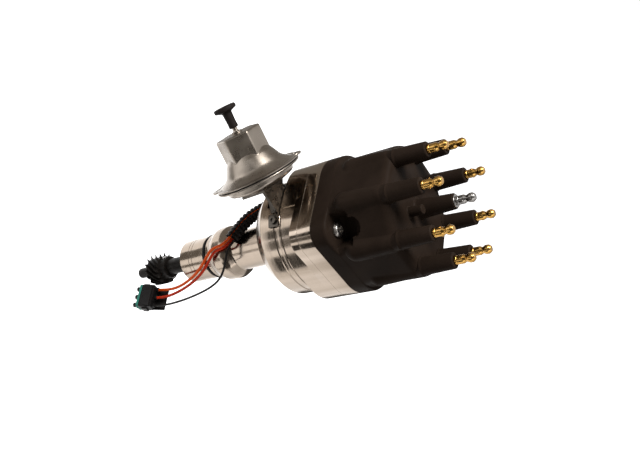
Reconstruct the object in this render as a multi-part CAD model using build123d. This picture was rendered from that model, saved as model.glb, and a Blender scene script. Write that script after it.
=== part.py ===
"""Ignition distributor with mechanical and vacuum advance, eight plug towers and a wired pickup.

Millimetres, +Z up the drive shaft towards the cap, +X towards the vacuum canister.
The origin is on the shaft axis, at the shoulder where the housing seats on the engine block.
"""
from build123d import *

import os
from math import cos, pi, radians, sin, tan

os.makedirs("parts", exist_ok=True)

# Clearances and recesses in screw heads
RUNNING = 0.05
FREE = 0.3
RECESS_R_SHARE = 0.45
RECESS_DEPTH_SHARE = 0.5

# Drive shaft and gear
SHAFT_R = 6.35
STUB_R = 4.2
SHAFT_END_Z = -86.0
GEAR_LOW_Z = -68.4
GEAR_FACE = 12.7
GEAR_TEETH = 14
GEAR_TIP_R = 12.6
GEAR_ROOT_R = 9.9
GEAR_HELIX_DEG = 45.0
GEAR_HUB_R = 8.8
GEAR_HUB_LENGTH = 5.8
GEAR_PIN_R = 1.6
GEAR_PIN_AZ = 20.0
GEAR_PIN_PROUD = 0.6
GEAR_SPACE = 0.36
GEAR_LAND = 0.14
GEAR_HAND = 1
STUB_ROUND_R = 2.4

# Housing below the bowl
PILOT_R = 16.5
PILOT_LOW_Z = -24.5
PILOT_CHAMFER = 0.8
SEAL_GROOVE_LOW_Z = 0.0
SEAL_GROOVE_HIGH_Z = 3.6
SEAL_GROOVE_R = 14.6
SHOULDER_R = 17.0
SHOULDER_HIGH_Z = 6.0
SEAL_FILL = 0.72
COLLAR_R = 20.4
COLLAR_LOW_Z = 13.0
COLLAR_HIGH_Z = 21.5
COLLAR_END_Z = 28.0
COLLAR_BLEND_R = 4.0
COLLAR_CREST_R = 5.0
COLLAR_TOP_BLEND_R = 1.5
SHANK_R = 15.0
SHANK_BLEND_R = 4.5

# Bushings
BUSHING_WALL = 2.6
LOWER_BUSHING_LENGTH = 22.0
UPPER_BUSHING_LENGTH = 25.0
OIL_RELIEF = 0.9
WASHER_T = 0.8

# Bowl
BOWL_BOTTOM_Z = 68.0
BOWL_BOTTOM_R = 33.9
BOWL_FLOOR_T = 4.5
BOWL_R = 40.3
BOWL_CHAMFER_Z = 77.0
BOWL_WALL = 3.7
BOWL_INNER_R = BOWL_R - BOWL_WALL
JOINT_LINE_Z = 93.9
BAND_HIGH_Z = JOINT_LINE_Z - 2.1
BAND_LOW_Z = BAND_HIGH_Z - 3.5
BAND_DEPTH = 0.6
JOINT_LINE_W = 0.5
BEARING_BOSS_R = 12.0
BEARING_BOSS_TOP_Z = 77.0

# Eared top of the housing, shared by the cap's flange
EAR_AZ = 72.2
EAR_CENTRE = 36.5
EAR_CORNER_R = 13.0
SIDE_CENTRE = 19.0
SIDE_CORNER_R = 28.0
EAR_LOW_Z = 106.5
CAP_JOINT_Z = 123.5
TOP_BORE_R = 37.5
SCREW_BOSS_R = 5.5
SCREW_BOSS_LOW_Z = 109.6
SPIGOT_GAP = 0.2

# Distributor cap
FLANGE_TOP_Z = 135.0
FLANGE_FILLET = 2.6
SKIRT_R = 43.6
SKIRT_FLAT = 40.2
FLAT_TURN = 41.1
PANEL_DISTANCE = 40.0
DECK_Z = 177.0
DECK_FILLET = 4.0
RIDGE_R = 6.3
RIDGE_LOW_Z = 141.0
TOWER_COUNT = 8
TOWER_RING_R = 38.0
TOWER_TOP_Z = 199.7
TOWER_TOP_R = 5.2
TOWER_EDGE_R = 0.8
TOWER_FOOT_R = 6.0
COIL_TOWER_TOP_Z = 203.1
COIL_TOWER_FOOT_R = 6.8
BOSS_R = 3.2
BOSS_DISTANCE = 14.0
BOSS_HEIGHT = 10.0
CAP_BORE_R = 36.0
CAP_BORE_TOP_Z = 168.5
CAP_CROWN_R = 30.5
CAP_CROWN_Z = 171.5
CAP_LIP_DEPTH = 2.5
BRUSH_BOSS_R = 7.5
BRUSH_BOSS_Z = 165.0
POCKET_TOP_Z = 147.1
POCKET_BACK = 28.6
POCKET_HALF_WIDTH = 10.6
POCKET_CORNER_R = 2.5
POCKET_WALL = 2.2
CAP_SCREW_DISTANCE = 36.4
CAP_SCREW_R = 2.2
CAP_SCREW_HEAD_R = 5.0
CAP_SCREW_HEAD_T = 2.9
CAP_SCREW_DEPTH = 13.0
CAP_SCREW_HOLE_GAP = 0.25
DRIVER_R = 5.8
DRIVER_TOP_Z = FLANGE_TOP_Z + 19.6

# Terminals
STEM_R = 2.2
CONTACT_R = 3.2
CONTACT_LOW_Z = 158.0
CONTACT_HIGH_Z = CONTACT_LOW_Z + 9.0
POST_R = 3.05
POST_LENGTH = 5.2
NECK_R = 2.1
BALL_R = 3.07
BALL_Z = 210.7
COIL_BALL_Z = 214.2
NIB_R = 0.9
NIB_PROUD = 0.6
TERMINAL_WASHER_R = 4.4
TERMINAL_WASHER_T = 0.8
BRUSH_R = 2.5
BRUSH_LENGTH = 8.0
BRUSH_GAP = 0.1
BRUSH_SPRING_LENGTH = 4.0
BRUSH_SPRING_R = BRUSH_R - 0.2
BRUSH_SPRING_WIRE = 0.7

# Advance mechanism under the rotor
SLEEVE_GAP = 0.1
SLEEVE_WALL = 2.2
RELUCTOR_LOW_Z = 85.6
RELUCTOR_T = 5.2
RELUCTOR_TIP_R = 14.2
RELUCTOR_ROOT_R = 11.2
WEIGHT_PLATE_Z = 96.0
WEIGHT_PLATE_T = 1.8
WEIGHT_PLATE_R = 28.5
WEIGHT_T = 4.4
WEIGHT_GAP = 0.3
PIVOT_DISTANCE = 23.0
PIVOT_R = 2.3
SPRING_POST_R = 1.1
SPRING_POST_DISTANCE = 20.0
SPRING_POST_AZ = -48.0
SPRING_PIN_DISTANCE = 14.0
SPRING_PIN_H = 2.2
SPRING_PIN_R = 0.8
SPRING_COIL_R = 1.25
SPRING_WIRE_R = 0.4
SPRING_LOOP_GAP = 0.35
SPRING_LOOP_TRAVEL = 3.9
WEIGHT_INNER_R = 13.5
WEIGHT_OUTER_R = 27.5
WEIGHT_SPAN_DEG = 120.0
WEIGHT_EYE_R = 4.8
WEIGHT_LUG_R = 2.7
WEIGHT_CORNER_R = 2.0
POST_TOP_Z = 106.4
CAM_R = 7.6
CAM_LOBE = 2.6
CAM_GAP = 0.3
SHAFT_TIP_R = 4.0
SHAFT_TIP_RISE = 0.6
CLIP_R = 6.4
CLIP_T = 0.8

# Rotor
ROTOR_DISC_R = 28.5
ROTOR_DISC_T = 3.2
ROTOR_TOWER_FOOT_R = 13.0
ROTOR_TOWER_R = 8.5
ROTOR_TOP_Z = 161.0
ROTOR_ARM_W = 11.0
ROTOR_ARM_T = 3.0
ROTOR_ARM_REACH = 29.5
ROTOR_BLEND_R = 6.0
ROTOR_AZ = EAR_AZ - 22.5
BLADE_T = 1.4
BLADE_W = 7.0
BLADE_TIP_W = 5.0
ROTOR_AIR_GAP = 0.6
ROTOR_SCREW_R = 1.5
ROTOR_SCREW_HEAD_R = 3.0
ROTOR_SCREW_HEAD_T = 1.8
ROTOR_SCREW_DEPTH = 6.0

# Pickup
BASE_PLATE_Z = 79.0
BASE_PLATE_T = 1.6
BASE_PLATE_GAP = 0.4
BASE_PLATE_R = BOWL_INNER_R - BASE_PLATE_GAP
BASE_LUG_R = 4.2
BASE_LUG_DISTANCE = BASE_PLATE_R - BASE_LUG_R
BASE_WINDOW_RIM = 4.0
BASE_WINDOW_AZ = (330.0, 356.0)
BASE_LUG_AZ = (65.0, 185.0, 305.0)
BASE_SCREW_R = 1.5
BASE_SCREW_HEAD_R = 2.9
BASE_SCREW_HEAD_T = 1.6
RING_R = 15.0
RING_FLANGE_R = 17.5
RING_FLANGE_T = 1.0
RING_HEIGHT = 4.4
BEARING_CLIP_R = 16.5
RING_WALL = 3.0
PLATE_GAP = 0.1
PICKUP_PLATE_T = 1.6
PICKUP_PLATE_R = 28.5
PICKUP_AZ = 235.0
COIL_R = 4.6
COIL_LENGTH = 7.2
COIL_START_R = 17.4
POLE_W = 4.0
POLE_LEG_T = 3.0
POLE_GAP = 0.6
BOBBIN_T = 0.9
BOBBIN_LIP = 0.7
MODULE_AZ = (195.0, 295.0)
MODULE_INNER_R = 14.5
MODULE_H = 5.8
MODULE_GAP = 1.0
MODULE_CORNER_R = 2.5
LINK_SWEEP_DEG = 10.0
LINK_PIN_R = 1.5
LINK_PIN_HEIGHT = 6.2
LINK_EYE_R = 3.4

# Vacuum canister, measured along its own axis from the point nearest the shaft
CAN_OFFSET_Y = 20.0 / 40.3 * BOWL_R
CAN_AXIS_Z = JOINT_LINE_Z - 6.2
CAN_TILT_DEG = 2.5
CUP_BOTTOM = 48.4 / 40.3 * BOWL_R
CUP_BOTTOM_R = 15.0
CUP_R = 24.0
CUP_SHOULDER = CUP_BOTTOM + 3.1
CUP_LIP = CUP_SHOULDER + 5.5
SHEET = 1.2
DIAPHRAGM_T = 0.8
FLANGE_R = 29.8
BELL_FOOT_R = 27.0
BELL_WAIST_R = 16.0
BELL_WAIST = CUP_LIP + 11.5
BELL_SPREAD = 4.6
BELL_STEP = 3.6
BELL_CURVE_R = 9.0
HEX_LOW = BELL_WAIST + 3.5
HEX_TOP = HEX_LOW + 16.2
HEX_CORNER_R = 15.9
HEX_CORNER_FILLET = 1.6
HEX_CORNER_TRIM = 0.3
HEX_TURN = 30.0
HEX_EDGE_R = 1.2
HEX_WALL = 1.4
HEX_CONE = 1.8
CAN_EAR_R = 32.8
CAN_EAR_TURN = -54.7
CAN_EAR_HALF_WIDTH = 6.5
CAN_SLOT_W = 3.0
CAN_SLOT_LENGTH = 9.0
CAN_SLOT_DISTANCE = 28.4
NIPPLE_NUT_R = 3.6
NIPPLE_NUT_T = 1.4
NIPPLE_R = 1.75
NIPPLE_BORE_R = 0.9
NIPPLE_END = HEX_TOP + 13.3
PORT_CAP_LOW = HEX_TOP + 4.0
PORT_CAP_TOP = PORT_CAP_LOW + 15.1
PORT_CAP_R = 3.2
PORT_CAP_HEAD_R = 7.7
PORT_CAP_HEAD_T = 2.7
PORT_CAP_EDGE_R = 0.8
DIAPHRAGM_PLATE_R = 13.0
DIAPHRAGM_PLATE_T = 1.4
LINK_W = 5.0
LINK_T = 1.5
LINK_HOLE_R = 3.6
DIAPHRAGM_HOLE_R = 3.4
CAN_SPRING_R = 8.5
CAN_SPRING_WIRE = 1.1
CAN_SPRING_LENGTH = 23.0
CAN_SPRING_TURNS = 4.5

# Canister bracket
BRACKET_T = 1.8
BRACKET_TOP_GAP = 0.1
BRACKET_Z = JOINT_LINE_Z - BRACKET_TOP_GAP - BRACKET_T
BRACKET_HALF_ROOT = 8.2 / 40.3 * BOWL_R
BRACKET_HALF_END = 13.0 / 40.3 * BOWL_R
BRACKET_FOLD = 5.0
BACK_PLATE_T = 1.6
BACK_PLATE_DROP = 11.0
BRACKET_ROOT_X = 28.0 / 40.3 * BOWL_R
BRACKET_FAR_X = 41.8 / 40.3 * BOWL_R
BRACKET_FOLD_X = 31.0 / 40.3 * BOWL_R
TAB_HEIGHT = 8.0
TAB_T = 1.6
TAB_AZ = (50.0, 11.5)
TAB_HALF_DEG = 6.0
TAB_SCREW_DROP = 3.7
TAB_SCREW_R = 1.4
TAB_SCREW_HEAD_R = 2.7
TAB_SCREW_HEAD_T = 1.6
NOTCH_GAP = 0.4
NOTCH_HALF_WIDTH = BRACKET_HALF_ROOT + NOTCH_GAP
NOTCH_START_X = BOWL_R - 22.3
LINK_SLOT_GAP = 0.5
LINK_SLOT_LOW_Z = CAN_AXIS_Z - 5.2
TAB_WALL_GAP = 0.05

# Harness
LOOM_R = 4.8
WIRE_R = 1.1
THIN_WIRE_R = 0.85
GROMMET_R = 7.5
GROMMET_HOLE_R = 6.4
GROMMET_LIP = 1.6
GROMMET_AZ = -19.57
GROMMET_DISTANCE = BOWL_INNER_R - GROMMET_R - 1.93
POST_PITCH = 6.7
PLUG_LENGTH = 19.4
PLUG_DEPTH = 10.5
PLUG_THICKNESS = 10.4
PLUG_SEAL_T = 1.9
PLUG_SEAL_INSET = 0.5
PLUG_POST_R = 1.95
PLUG_POST_LENGTH = 4.0
PLUG_CORNER_R = 1.2
PLUG_SKIRT_T = 1.5
PLUG_SKIRT_DEPTH = 19.0
PLUG_SKIRT_SIDE = -1

WASHER_TOP_Z = BEARING_BOSS_TOP_Z + WASHER_T
BUSHING_R = SHAFT_R + RUNNING + BUSHING_WALL
GEAR_HIGH_Z = GEAR_LOW_Z + GEAR_FACE
HUB_HIGH_Z = GEAR_HIGH_Z + GEAR_HUB_LENGTH
BOWL_FLOOR_Z = BOWL_BOTTOM_Z + BOWL_FLOOR_T
SLEEVE_R = SHAFT_R + RUNNING + SLEEVE_WALL
SLEEVE_LOW_Z = WASHER_TOP_Z + SLEEVE_GAP
WEIGHT_LOW_Z = WEIGHT_PLATE_Z + WEIGHT_PLATE_T + WEIGHT_GAP
WEIGHT_HIGH_Z = WEIGHT_LOW_Z + WEIGHT_T
CAM_LOW_Z = WEIGHT_PLATE_Z + WEIGHT_PLATE_T + CAM_GAP
CAM_HIGH_Z = CAM_LOW_Z + WEIGHT_T
SHAFT_TIP_Z = CAM_HIGH_Z + CLIP_T + SHAFT_TIP_RISE
SPRING_MID_Z = WEIGHT_HIGH_Z + WEIGHT_GAP + SPRING_COIL_R
RELUCTOR_MID_Z = RELUCTOR_LOW_Z + RELUCTOR_T / 2
GEAR_PIN_Z = GEAR_LOW_Z + GEAR_FACE + GEAR_HUB_LENGTH / 2
TAB_INNER_R = BOWL_R + TAB_WALL_GAP
TAB_OUTER_R = TAB_INNER_R + TAB_T
TAB_SCREW_Z = BRACKET_Z + BRACKET_T - TAB_SCREW_DROP
BLADE_Z = ROTOR_TOP_Z
BRUSH_LOW_Z = BLADE_Z + BLADE_T + BRUSH_GAP
BRUSH_HIGH_Z = BRUSH_LOW_Z + BRUSH_LENGTH
COIL_STEM_Z = BRUSH_HIGH_Z + BRUSH_SPRING_LENGTH
COIL_WASHER_TOP_Z = COIL_TOWER_TOP_Z + TERMINAL_WASHER_T
ROTOR_TIP_R = TOWER_RING_R - CONTACT_R - ROTOR_AIR_GAP
BASE_TOP_Z = BASE_PLATE_Z + BASE_PLATE_T
PICKUP_PLATE_Z = BASE_TOP_Z + RING_FLANGE_T + PLATE_GAP
PICKUP_TOP_Z = PICKUP_PLATE_Z + PICKUP_PLATE_T
SPRING_FOOT = CUP_LIP + DIAPHRAGM_T + DIAPHRAGM_PLATE_T
EAR_AXES = (EAR_AZ, EAR_AZ + 180.0)
TOWER_AZ = [EAR_AZ + 180.0 / TOWER_COUNT + 360.0 / TOWER_COUNT * k for k in range(TOWER_COUNT)]
CAN = Pos(0, CAN_OFFSET_Y, CAN_AXIS_Z) * Rot(0, 90 + CAN_TILT_DEG, 0)
LINK_ARM = CAN_OFFSET_Y / cos(radians(LINK_SWEEP_DEG / 2))
LINK_PIN_XY = (-LINK_ARM * sin(radians(LINK_SWEEP_DEG / 2)), CAN_OFFSET_Y)

# Harness routes, chosen by hand along the photograph. The loom starts in the grommet.
GROMMET_X = GROMMET_DISTANCE * cos(radians(GROMMET_AZ))
GROMMET_Y = GROMMET_DISTANCE * sin(radians(GROMMET_AZ))
LOOM_ROUTE = [
    (GROMMET_X, GROMMET_Y, 70.2), (GROMMET_X, GROMMET_Y, 60.6), (24.3, -5.6, 50.6), (21.9, 1.9, 41.3),
    (15.3, 13.9, 33.4),
]
ORANGE_ROUTE = [
    (16.8, 13.8, 32.3), (14.2, 19.3, 28.7), (14.3, 21.5, 19.0), (9.9, 23.3, 12.8), (1.6, 25.4, 2.0),
    (-4.2, 26.4, -10.5), (-8.8, 25.9, -27.0), (-9.9, 22.9, -43.4), (-7.4, 24.7, -50.8),
]
RED_ROUTE = [
    (14.4, 12.9, 32.5), (11.9, 18.4, 29.0), (11.6, 20.9, 19.6), (7.5, 22.7, 14.3), (-1.1, 24.4, 3.0),
    (-7.1, 26.2, -9.7), (-11.6, 27.7, -26.0), (-13.8, 28.4, -43.4), (-11.3, 30.2, -50.8),
]
BLACK_ROUTE = [
    (13.6, 14.2, 35.2), (11.0, 19.7, 31.6), (6.1, 23.7, 29.8), (-0.9, 27.5, 26.8), (-7.5, 30.4, 20.6),
    (-11.9, 32.0, 9.4), (-15.3, 33.0, -8.5), (-17.4, 33.4, -27.0), (-17.7, 33.8, -43.4),
    (-15.2, 35.6, -50.8),
]
PLUG_CENTRE = (-8.0, 32.54, -60.5)
PLUG_LONG_AXIS = (-0.583, 0.812, 0.0)
PLUG_MATING_AXIS = (0.313, 0.225, -0.923)


def polar(distance, azimuth):
    """Point at a distance from the axis and an azimuth in degrees."""
    return (distance * cos(radians(azimuth)), distance * sin(radians(azimuth)))


def flat(points, rounds=()):
    """Closed flat profile with some of its corners rounded."""
    face = Face(Wire.make_polygon([(x, y, 0) for x, y in points], close=True))
    for corner, radius in rounds:
        vertex = face.vertices().sort_by_distance((corner[0], corner[1], 0))[0]
        face = face.fillet_2d(radius, [vertex])
    return face


def turned(points, rounds=()):
    """Half profile of (radius, height) points turned about the axis."""
    return revolve(Plane.XZ * flat(points, rounds), Axis.Z)


def post(radius, low_z, high_z, centre=(0.0, 0.0)):
    """Round bar along Z."""
    bar = Cylinder(radius, high_z - low_z, align=(Align.CENTER, Align.CENTER, Align.MIN))
    return Pos(centre[0], centre[1], low_z) * bar


def tube(outer_r, inner_r, low_z, high_z, centre=(0.0, 0.0)):
    """Round tube along Z."""
    return post(outer_r, low_z, high_z, centre) - post(inner_r, low_z, high_z, centre)


def slab(face, low_z, high_z):
    """Flat profile raised between two heights."""
    return Pos(0, 0, low_z) * extrude(face, high_z - low_z, dir=(0, 0, 1))


def sector(outer_r, inner_r, first_deg, last_deg, low_z, high_z):
    """Part of a ring between two azimuths."""
    reach = outer_r * 3
    span = last_deg - first_deg
    wedge = [(0, 0)] + [polar(reach, first_deg + span * k / 4) for k in range(5)]
    return tube(outer_r, inner_r, low_z, high_z) & slab(flat(wedge), low_z, high_z)


def radially(azimuth, height, shape):
    """Turn a shape built along Z so that it points outwards at a height."""
    return Pos(0, 0, height) * Rot(0, 0, azimuth) * Rot(0, 90, 0) * shape


def diamond():
    """Outline of the eared joint: two small ear circles and two broad side circles, wrapped."""
    circles = [Pos(s * EAR_CENTRE, 0) * Circle(EAR_CORNER_R) for s in (1, -1)]
    circles += [Pos(0, s * SIDE_CENTRE) * Circle(SIDE_CORNER_R) for s in (1, -1)]
    return Rot(0, 0, EAR_AZ) * make_hull([edge for circle in circles for edge in circle.edges()])


def broad_side():
    """Outline below the ears: the bowl circle wrapped with the broad side circles."""
    circles = [Pos(0, s * SIDE_CENTRE) * Circle(SIDE_CORNER_R) for s in (1, -1)]
    circles.append(Circle(BOWL_R))
    return Rot(0, 0, EAR_AZ) * make_hull([edge for circle in circles for edge in circle.edges()])


# Housing

def housing_profile():
    """Pilot, seal groove, collar, shank and bowl in one half profile, solid inside."""
    return [
        (0, PILOT_LOW_Z),
        (PILOT_R - PILOT_CHAMFER, PILOT_LOW_Z),
        (PILOT_R, PILOT_LOW_Z + PILOT_CHAMFER),
        (PILOT_R, SEAL_GROOVE_LOW_Z),
        (SEAL_GROOVE_R, SEAL_GROOVE_LOW_Z),
        (SEAL_GROOVE_R, SEAL_GROOVE_HIGH_Z),
        (SHOULDER_R, SEAL_GROOVE_HIGH_Z),
        (SHOULDER_R, SHOULDER_HIGH_Z),
        (COLLAR_R, COLLAR_LOW_Z),
        (COLLAR_R, COLLAR_HIGH_Z),
        (SHANK_R, COLLAR_END_Z),
        (SHANK_R, BOWL_BOTTOM_Z),
        (BOWL_BOTTOM_R, BOWL_BOTTOM_Z),
        (BOWL_R, BOWL_CHAMFER_Z),
        (BOWL_R, BAND_LOW_Z),
        (BOWL_R - BAND_DEPTH, BAND_LOW_Z + BAND_DEPTH),
        (BOWL_R - BAND_DEPTH, BAND_HIGH_Z - BAND_DEPTH),
        (BOWL_R, BAND_HIGH_Z),
        (BOWL_R, JOINT_LINE_Z),
        (0, JOINT_LINE_Z),
    ]


def housing_rounds():
    """Corners of the half profile that are cast or turned round."""
    return [
        ((SHOULDER_R, SHOULDER_HIGH_Z), COLLAR_BLEND_R),
        ((COLLAR_R, COLLAR_LOW_Z), COLLAR_CREST_R),
        ((COLLAR_R, COLLAR_HIGH_Z), COLLAR_CREST_R),
        ((SHANK_R, COLLAR_END_Z), COLLAR_TOP_BLEND_R),
        ((SHANK_R, BOWL_BOTTOM_Z), SHANK_BLEND_R),
    ]


def wall_slot(half_width, low_z):
    """Cut through the bowl wall towards the canister, open at the top."""
    block = Box(BOWL_R, 2 * half_width, JOINT_LINE_Z - low_z, align=(Align.MIN, Align.CENTER, Align.MIN))
    return Pos(NOTCH_START_X, CAN_OFFSET_Y, low_z) * block


def housing():
    body = turned(housing_profile(), housing_rounds())
    body -= post(BOWL_INNER_R, BOWL_FLOOR_Z, JOINT_LINE_Z)
    body += post(BEARING_BOSS_R, BOWL_BOTTOM_Z, BEARING_BOSS_TOP_Z)
    for azimuth in BASE_LUG_AZ:
        body += post(BASE_LUG_R, BOWL_FLOOR_Z - 1, BASE_PLATE_Z, polar(BASE_LUG_DISTANCE, azimuth))
        body -= post(BASE_SCREW_R, BOWL_FLOOR_Z, BASE_PLATE_Z, polar(BASE_LUG_DISTANCE, azimuth))
    body -= post(SHAFT_R + OIL_RELIEF, PILOT_LOW_Z, BEARING_BOSS_TOP_Z)
    body -= post(BUSHING_R, PILOT_LOW_Z, PILOT_LOW_Z + LOWER_BUSHING_LENGTH)
    body -= post(BUSHING_R, BEARING_BOSS_TOP_Z - UPPER_BUSHING_LENGTH, BEARING_BOSS_TOP_Z)
    body -= post(GROMMET_HOLE_R, BOWL_BOTTOM_Z - 1, BOWL_FLOOR_Z, LOOM_ROUTE[0][:2])
    body -= wall_slot(NOTCH_HALF_WIDTH, BRACKET_Z - BRACKET_TOP_GAP)
    body -= wall_slot(LINK_W / 2 + LINK_SLOT_GAP, LINK_SLOT_LOW_Z)
    for azimuth in TAB_AZ:
        body -= radially(azimuth, TAB_SCREW_Z, post(TAB_SCREW_R, BOWL_INNER_R - 1, BOWL_R + 1))
    return body


def housing_top():
    """Upper ring with the two ears that the cap is screwed to."""
    body = slab(broad_side(), JOINT_LINE_Z + JOINT_LINE_W, EAR_LOW_Z)
    body += post(BOWL_R - JOINT_LINE_W, JOINT_LINE_Z, EAR_LOW_Z)
    body += slab(diamond(), EAR_LOW_Z, CAP_JOINT_Z)
    body -= post(TOP_BORE_R, JOINT_LINE_Z, CAP_JOINT_Z)
    for azimuth in EAR_AXES:
        centre = polar(CAP_SCREW_DISTANCE, azimuth)
        body += post(SCREW_BOSS_R, SCREW_BOSS_LOW_Z, CAP_JOINT_Z, centre)
        body -= post(CAP_SCREW_R, CAP_JOINT_Z - CAP_SCREW_DEPTH, CAP_JOINT_Z, centre)
    return body


def block_o_ring():
    section_r = (SEAL_GROOVE_HIGH_Z - SEAL_GROOVE_LOW_Z) * SEAL_FILL / 2
    middle = (SEAL_GROOVE_HIGH_Z + SEAL_GROOVE_LOW_Z) / 2
    return Pos(0, 0, middle) * Torus(SEAL_GROOVE_R + section_r, section_r)


# Shaft and gear

def drive_shaft():
    low = SHAFT_END_Z
    body = turned(
        [(0, low), (STUB_R, low), (STUB_R, GEAR_LOW_Z), (SHAFT_R, GEAR_LOW_Z), (SHAFT_R, CAM_LOW_Z),
         (SHAFT_TIP_R, CAM_LOW_Z), (SHAFT_TIP_R, SHAFT_TIP_Z), (0, SHAFT_TIP_Z)],
        [((STUB_R, low), STUB_ROUND_R)],
    )
    pin = Rot(0, 90, GEAR_PIN_AZ) * Cylinder(GEAR_PIN_R, 4 * SHAFT_R)
    return body - Pos(0, 0, GEAR_PIN_Z) * pin


def gear_tooth_points():
    pitch = 360.0 / GEAR_TEETH
    points = []
    for k in range(GEAR_TEETH):
        start = k * pitch
        points.append(polar(GEAR_ROOT_R, start + pitch * GEAR_SPACE / 2))
        points.append(polar(GEAR_TIP_R, start + pitch * (1 - GEAR_LAND) / 2))
        points.append(polar(GEAR_TIP_R, start + pitch * (1 + GEAR_LAND) / 2))
        points.append(polar(GEAR_ROOT_R, start + pitch * (1 - GEAR_SPACE / 2)))
    return points


def drive_gear():
    """Helical gear with its hub and the hole for the roll pin."""
    pitch_r = (GEAR_TIP_R + GEAR_ROOT_R) / 2
    twist = GEAR_FACE * tan(radians(GEAR_HELIX_DEG)) / pitch_r * 180 / pi
    teeth = Solid.extrude_linear_with_rotation(
        flat(gear_tooth_points()), (0, 0, 0), (0, 0, GEAR_FACE), GEAR_HAND * twist
    )
    body = Pos(0, 0, GEAR_LOW_Z) * teeth
    body += post(GEAR_HUB_R, GEAR_HIGH_Z - 1, HUB_HIGH_Z)
    body -= post(SHAFT_R, GEAR_LOW_Z, HUB_HIGH_Z)
    return body - Pos(0, 0, GEAR_PIN_Z) * Rot(0, 90, GEAR_PIN_AZ) * Cylinder(GEAR_PIN_R, 4 * GEAR_HUB_R)


def gear_pin():
    pin = Cylinder(GEAR_PIN_R, 2 * GEAR_HUB_R + 2 * GEAR_PIN_PROUD)
    pin -= Cylinder(GEAR_PIN_R / 2, 2 * GEAR_HUB_R + 2 * GEAR_PIN_PROUD)
    return Pos(0, 0, GEAR_PIN_Z) * Rot(0, 90, GEAR_PIN_AZ) * pin


def centre_cam():
    """Two-lobed cam on the shaft end, between the weights."""
    lobes = Rot(0, 0, 90) * Ellipse(CAM_R + CAM_LOBE, CAM_R)
    return slab(lobes, CAM_LOW_Z, CAM_HIGH_Z) - post(SHAFT_TIP_R, CAM_LOW_Z, CAM_HIGH_Z)


# Advance mechanism

def advance_plate():
    """Sleeve on the shaft with the weight plate, its pivot posts and its spring posts."""
    body = post(SLEEVE_R, SLEEVE_LOW_Z, WEIGHT_PLATE_Z)
    body += post(WEIGHT_PLATE_R, WEIGHT_PLATE_Z, WEIGHT_PLATE_Z + WEIGHT_PLATE_T)
    body -= post(SHAFT_R + RUNNING, SLEEVE_LOW_Z, WEIGHT_PLATE_Z + WEIGHT_PLATE_T)
    for turn in (0, 180):
        pivot = post(PIVOT_R, WEIGHT_PLATE_Z + WEIGHT_PLATE_T, POST_TOP_Z, polar(PIVOT_DISTANCE, turn))
        body += pivot
        body -= post(ROTOR_SCREW_R, POST_TOP_Z - ROTOR_SCREW_DEPTH, POST_TOP_Z, polar(PIVOT_DISTANCE, turn))
        anchor = polar(SPRING_POST_DISTANCE, SPRING_POST_AZ + turn)
        body += post(SPRING_POST_R, WEIGHT_PLATE_Z + WEIGHT_PLATE_T, SPRING_MID_Z + SPRING_COIL_R, anchor)
    return body


def reluctor():
    """Eight-pointed trigger wheel pressed on the sleeve."""
    pitch = 360.0 / TOWER_COUNT
    points = []
    for k in range(TOWER_COUNT):
        start = k * pitch
        points.append(polar(RELUCTOR_ROOT_R, start - pitch * 0.2))
        points.append(polar(RELUCTOR_ROOT_R, start + pitch * 0.2))
        points.append(polar(RELUCTOR_TIP_R, start + pitch * 0.44))
        points.append(polar(RELUCTOR_TIP_R, start + pitch * 0.56))
    wheel = slab(flat(points), RELUCTOR_LOW_Z, RELUCTOR_LOW_Z + RELUCTOR_T)
    return wheel - post(SLEEVE_R, RELUCTOR_LOW_Z, RELUCTOR_LOW_Z + RELUCTOR_T)


def advance_weight(turn):
    """Flyweight: a crescent on its pivot eye, with a lug and pin for the spring."""
    body = sector(WEIGHT_OUTER_R, WEIGHT_INNER_R, 0, WEIGHT_SPAN_DEG, WEIGHT_LOW_Z, WEIGHT_HIGH_Z)
    body += post(WEIGHT_EYE_R, WEIGHT_LOW_Z, WEIGHT_HIGH_Z, (PIVOT_DISTANCE, 0))
    body += post(WEIGHT_LUG_R, WEIGHT_LOW_Z, WEIGHT_HIGH_Z, (SPRING_PIN_DISTANCE, 0))
    body = fillet(body.edges().filter_by(Axis.Z).group_by(SortBy.DISTANCE)[-1], WEIGHT_CORNER_R)
    body -= post(PIVOT_R + RUNNING, WEIGHT_LOW_Z, WEIGHT_HIGH_Z, (PIVOT_DISTANCE, 0))
    body += post(SPRING_PIN_R, WEIGHT_HIGH_Z, WEIGHT_HIGH_Z + SPRING_PIN_H, (SPRING_PIN_DISTANCE, 0))
    return Rot(0, 0, turn) * body


def advance_spring(turn):
    """Coil between a post on the plate and a weight pin, with a long loop that the pin moves in."""
    anchor = Vector(*polar(SPRING_POST_DISTANCE, SPRING_POST_AZ))
    pin = Vector(SPRING_PIN_DISTANCE, 0)
    line = (pin - anchor).normalized()
    loop_r = SPRING_POST_R + SPRING_LOOP_GAP + SPRING_WIRE_R
    length = (pin - anchor).length
    place = Plane(origin=(anchor.X, anchor.Y, SPRING_MID_Z), x_dir=(line.X, line.Y, 0), z_dir=(0, 0, 1))
    wire = 2 * SPRING_WIRE_R
    hook = Pos(0, 0, -SPRING_WIRE_R) * extrude(Circle(loop_r + SPRING_WIRE_R), wire)
    hook -= Cylinder(SPRING_POST_R, 4 * wire)
    slot = SlotCenterToCenter(SPRING_LOOP_TRAVEL, 2 * loop_r + wire)
    inner = SlotCenterToCenter(SPRING_LOOP_TRAVEL, 2 * loop_r - wire)
    loop = Pos(length + SPRING_LOOP_TRAVEL / 2, 0, -SPRING_WIRE_R) * extrude(slot - inner, wire)
    coil_length = length - 2 * loop_r
    coil = Pos(loop_r, 0, 0) * Rot(0, 90, 0) * post(SPRING_COIL_R, 0, coil_length)
    return Rot(0, 0, turn) * (place * (hook + loop + coil))


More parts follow.
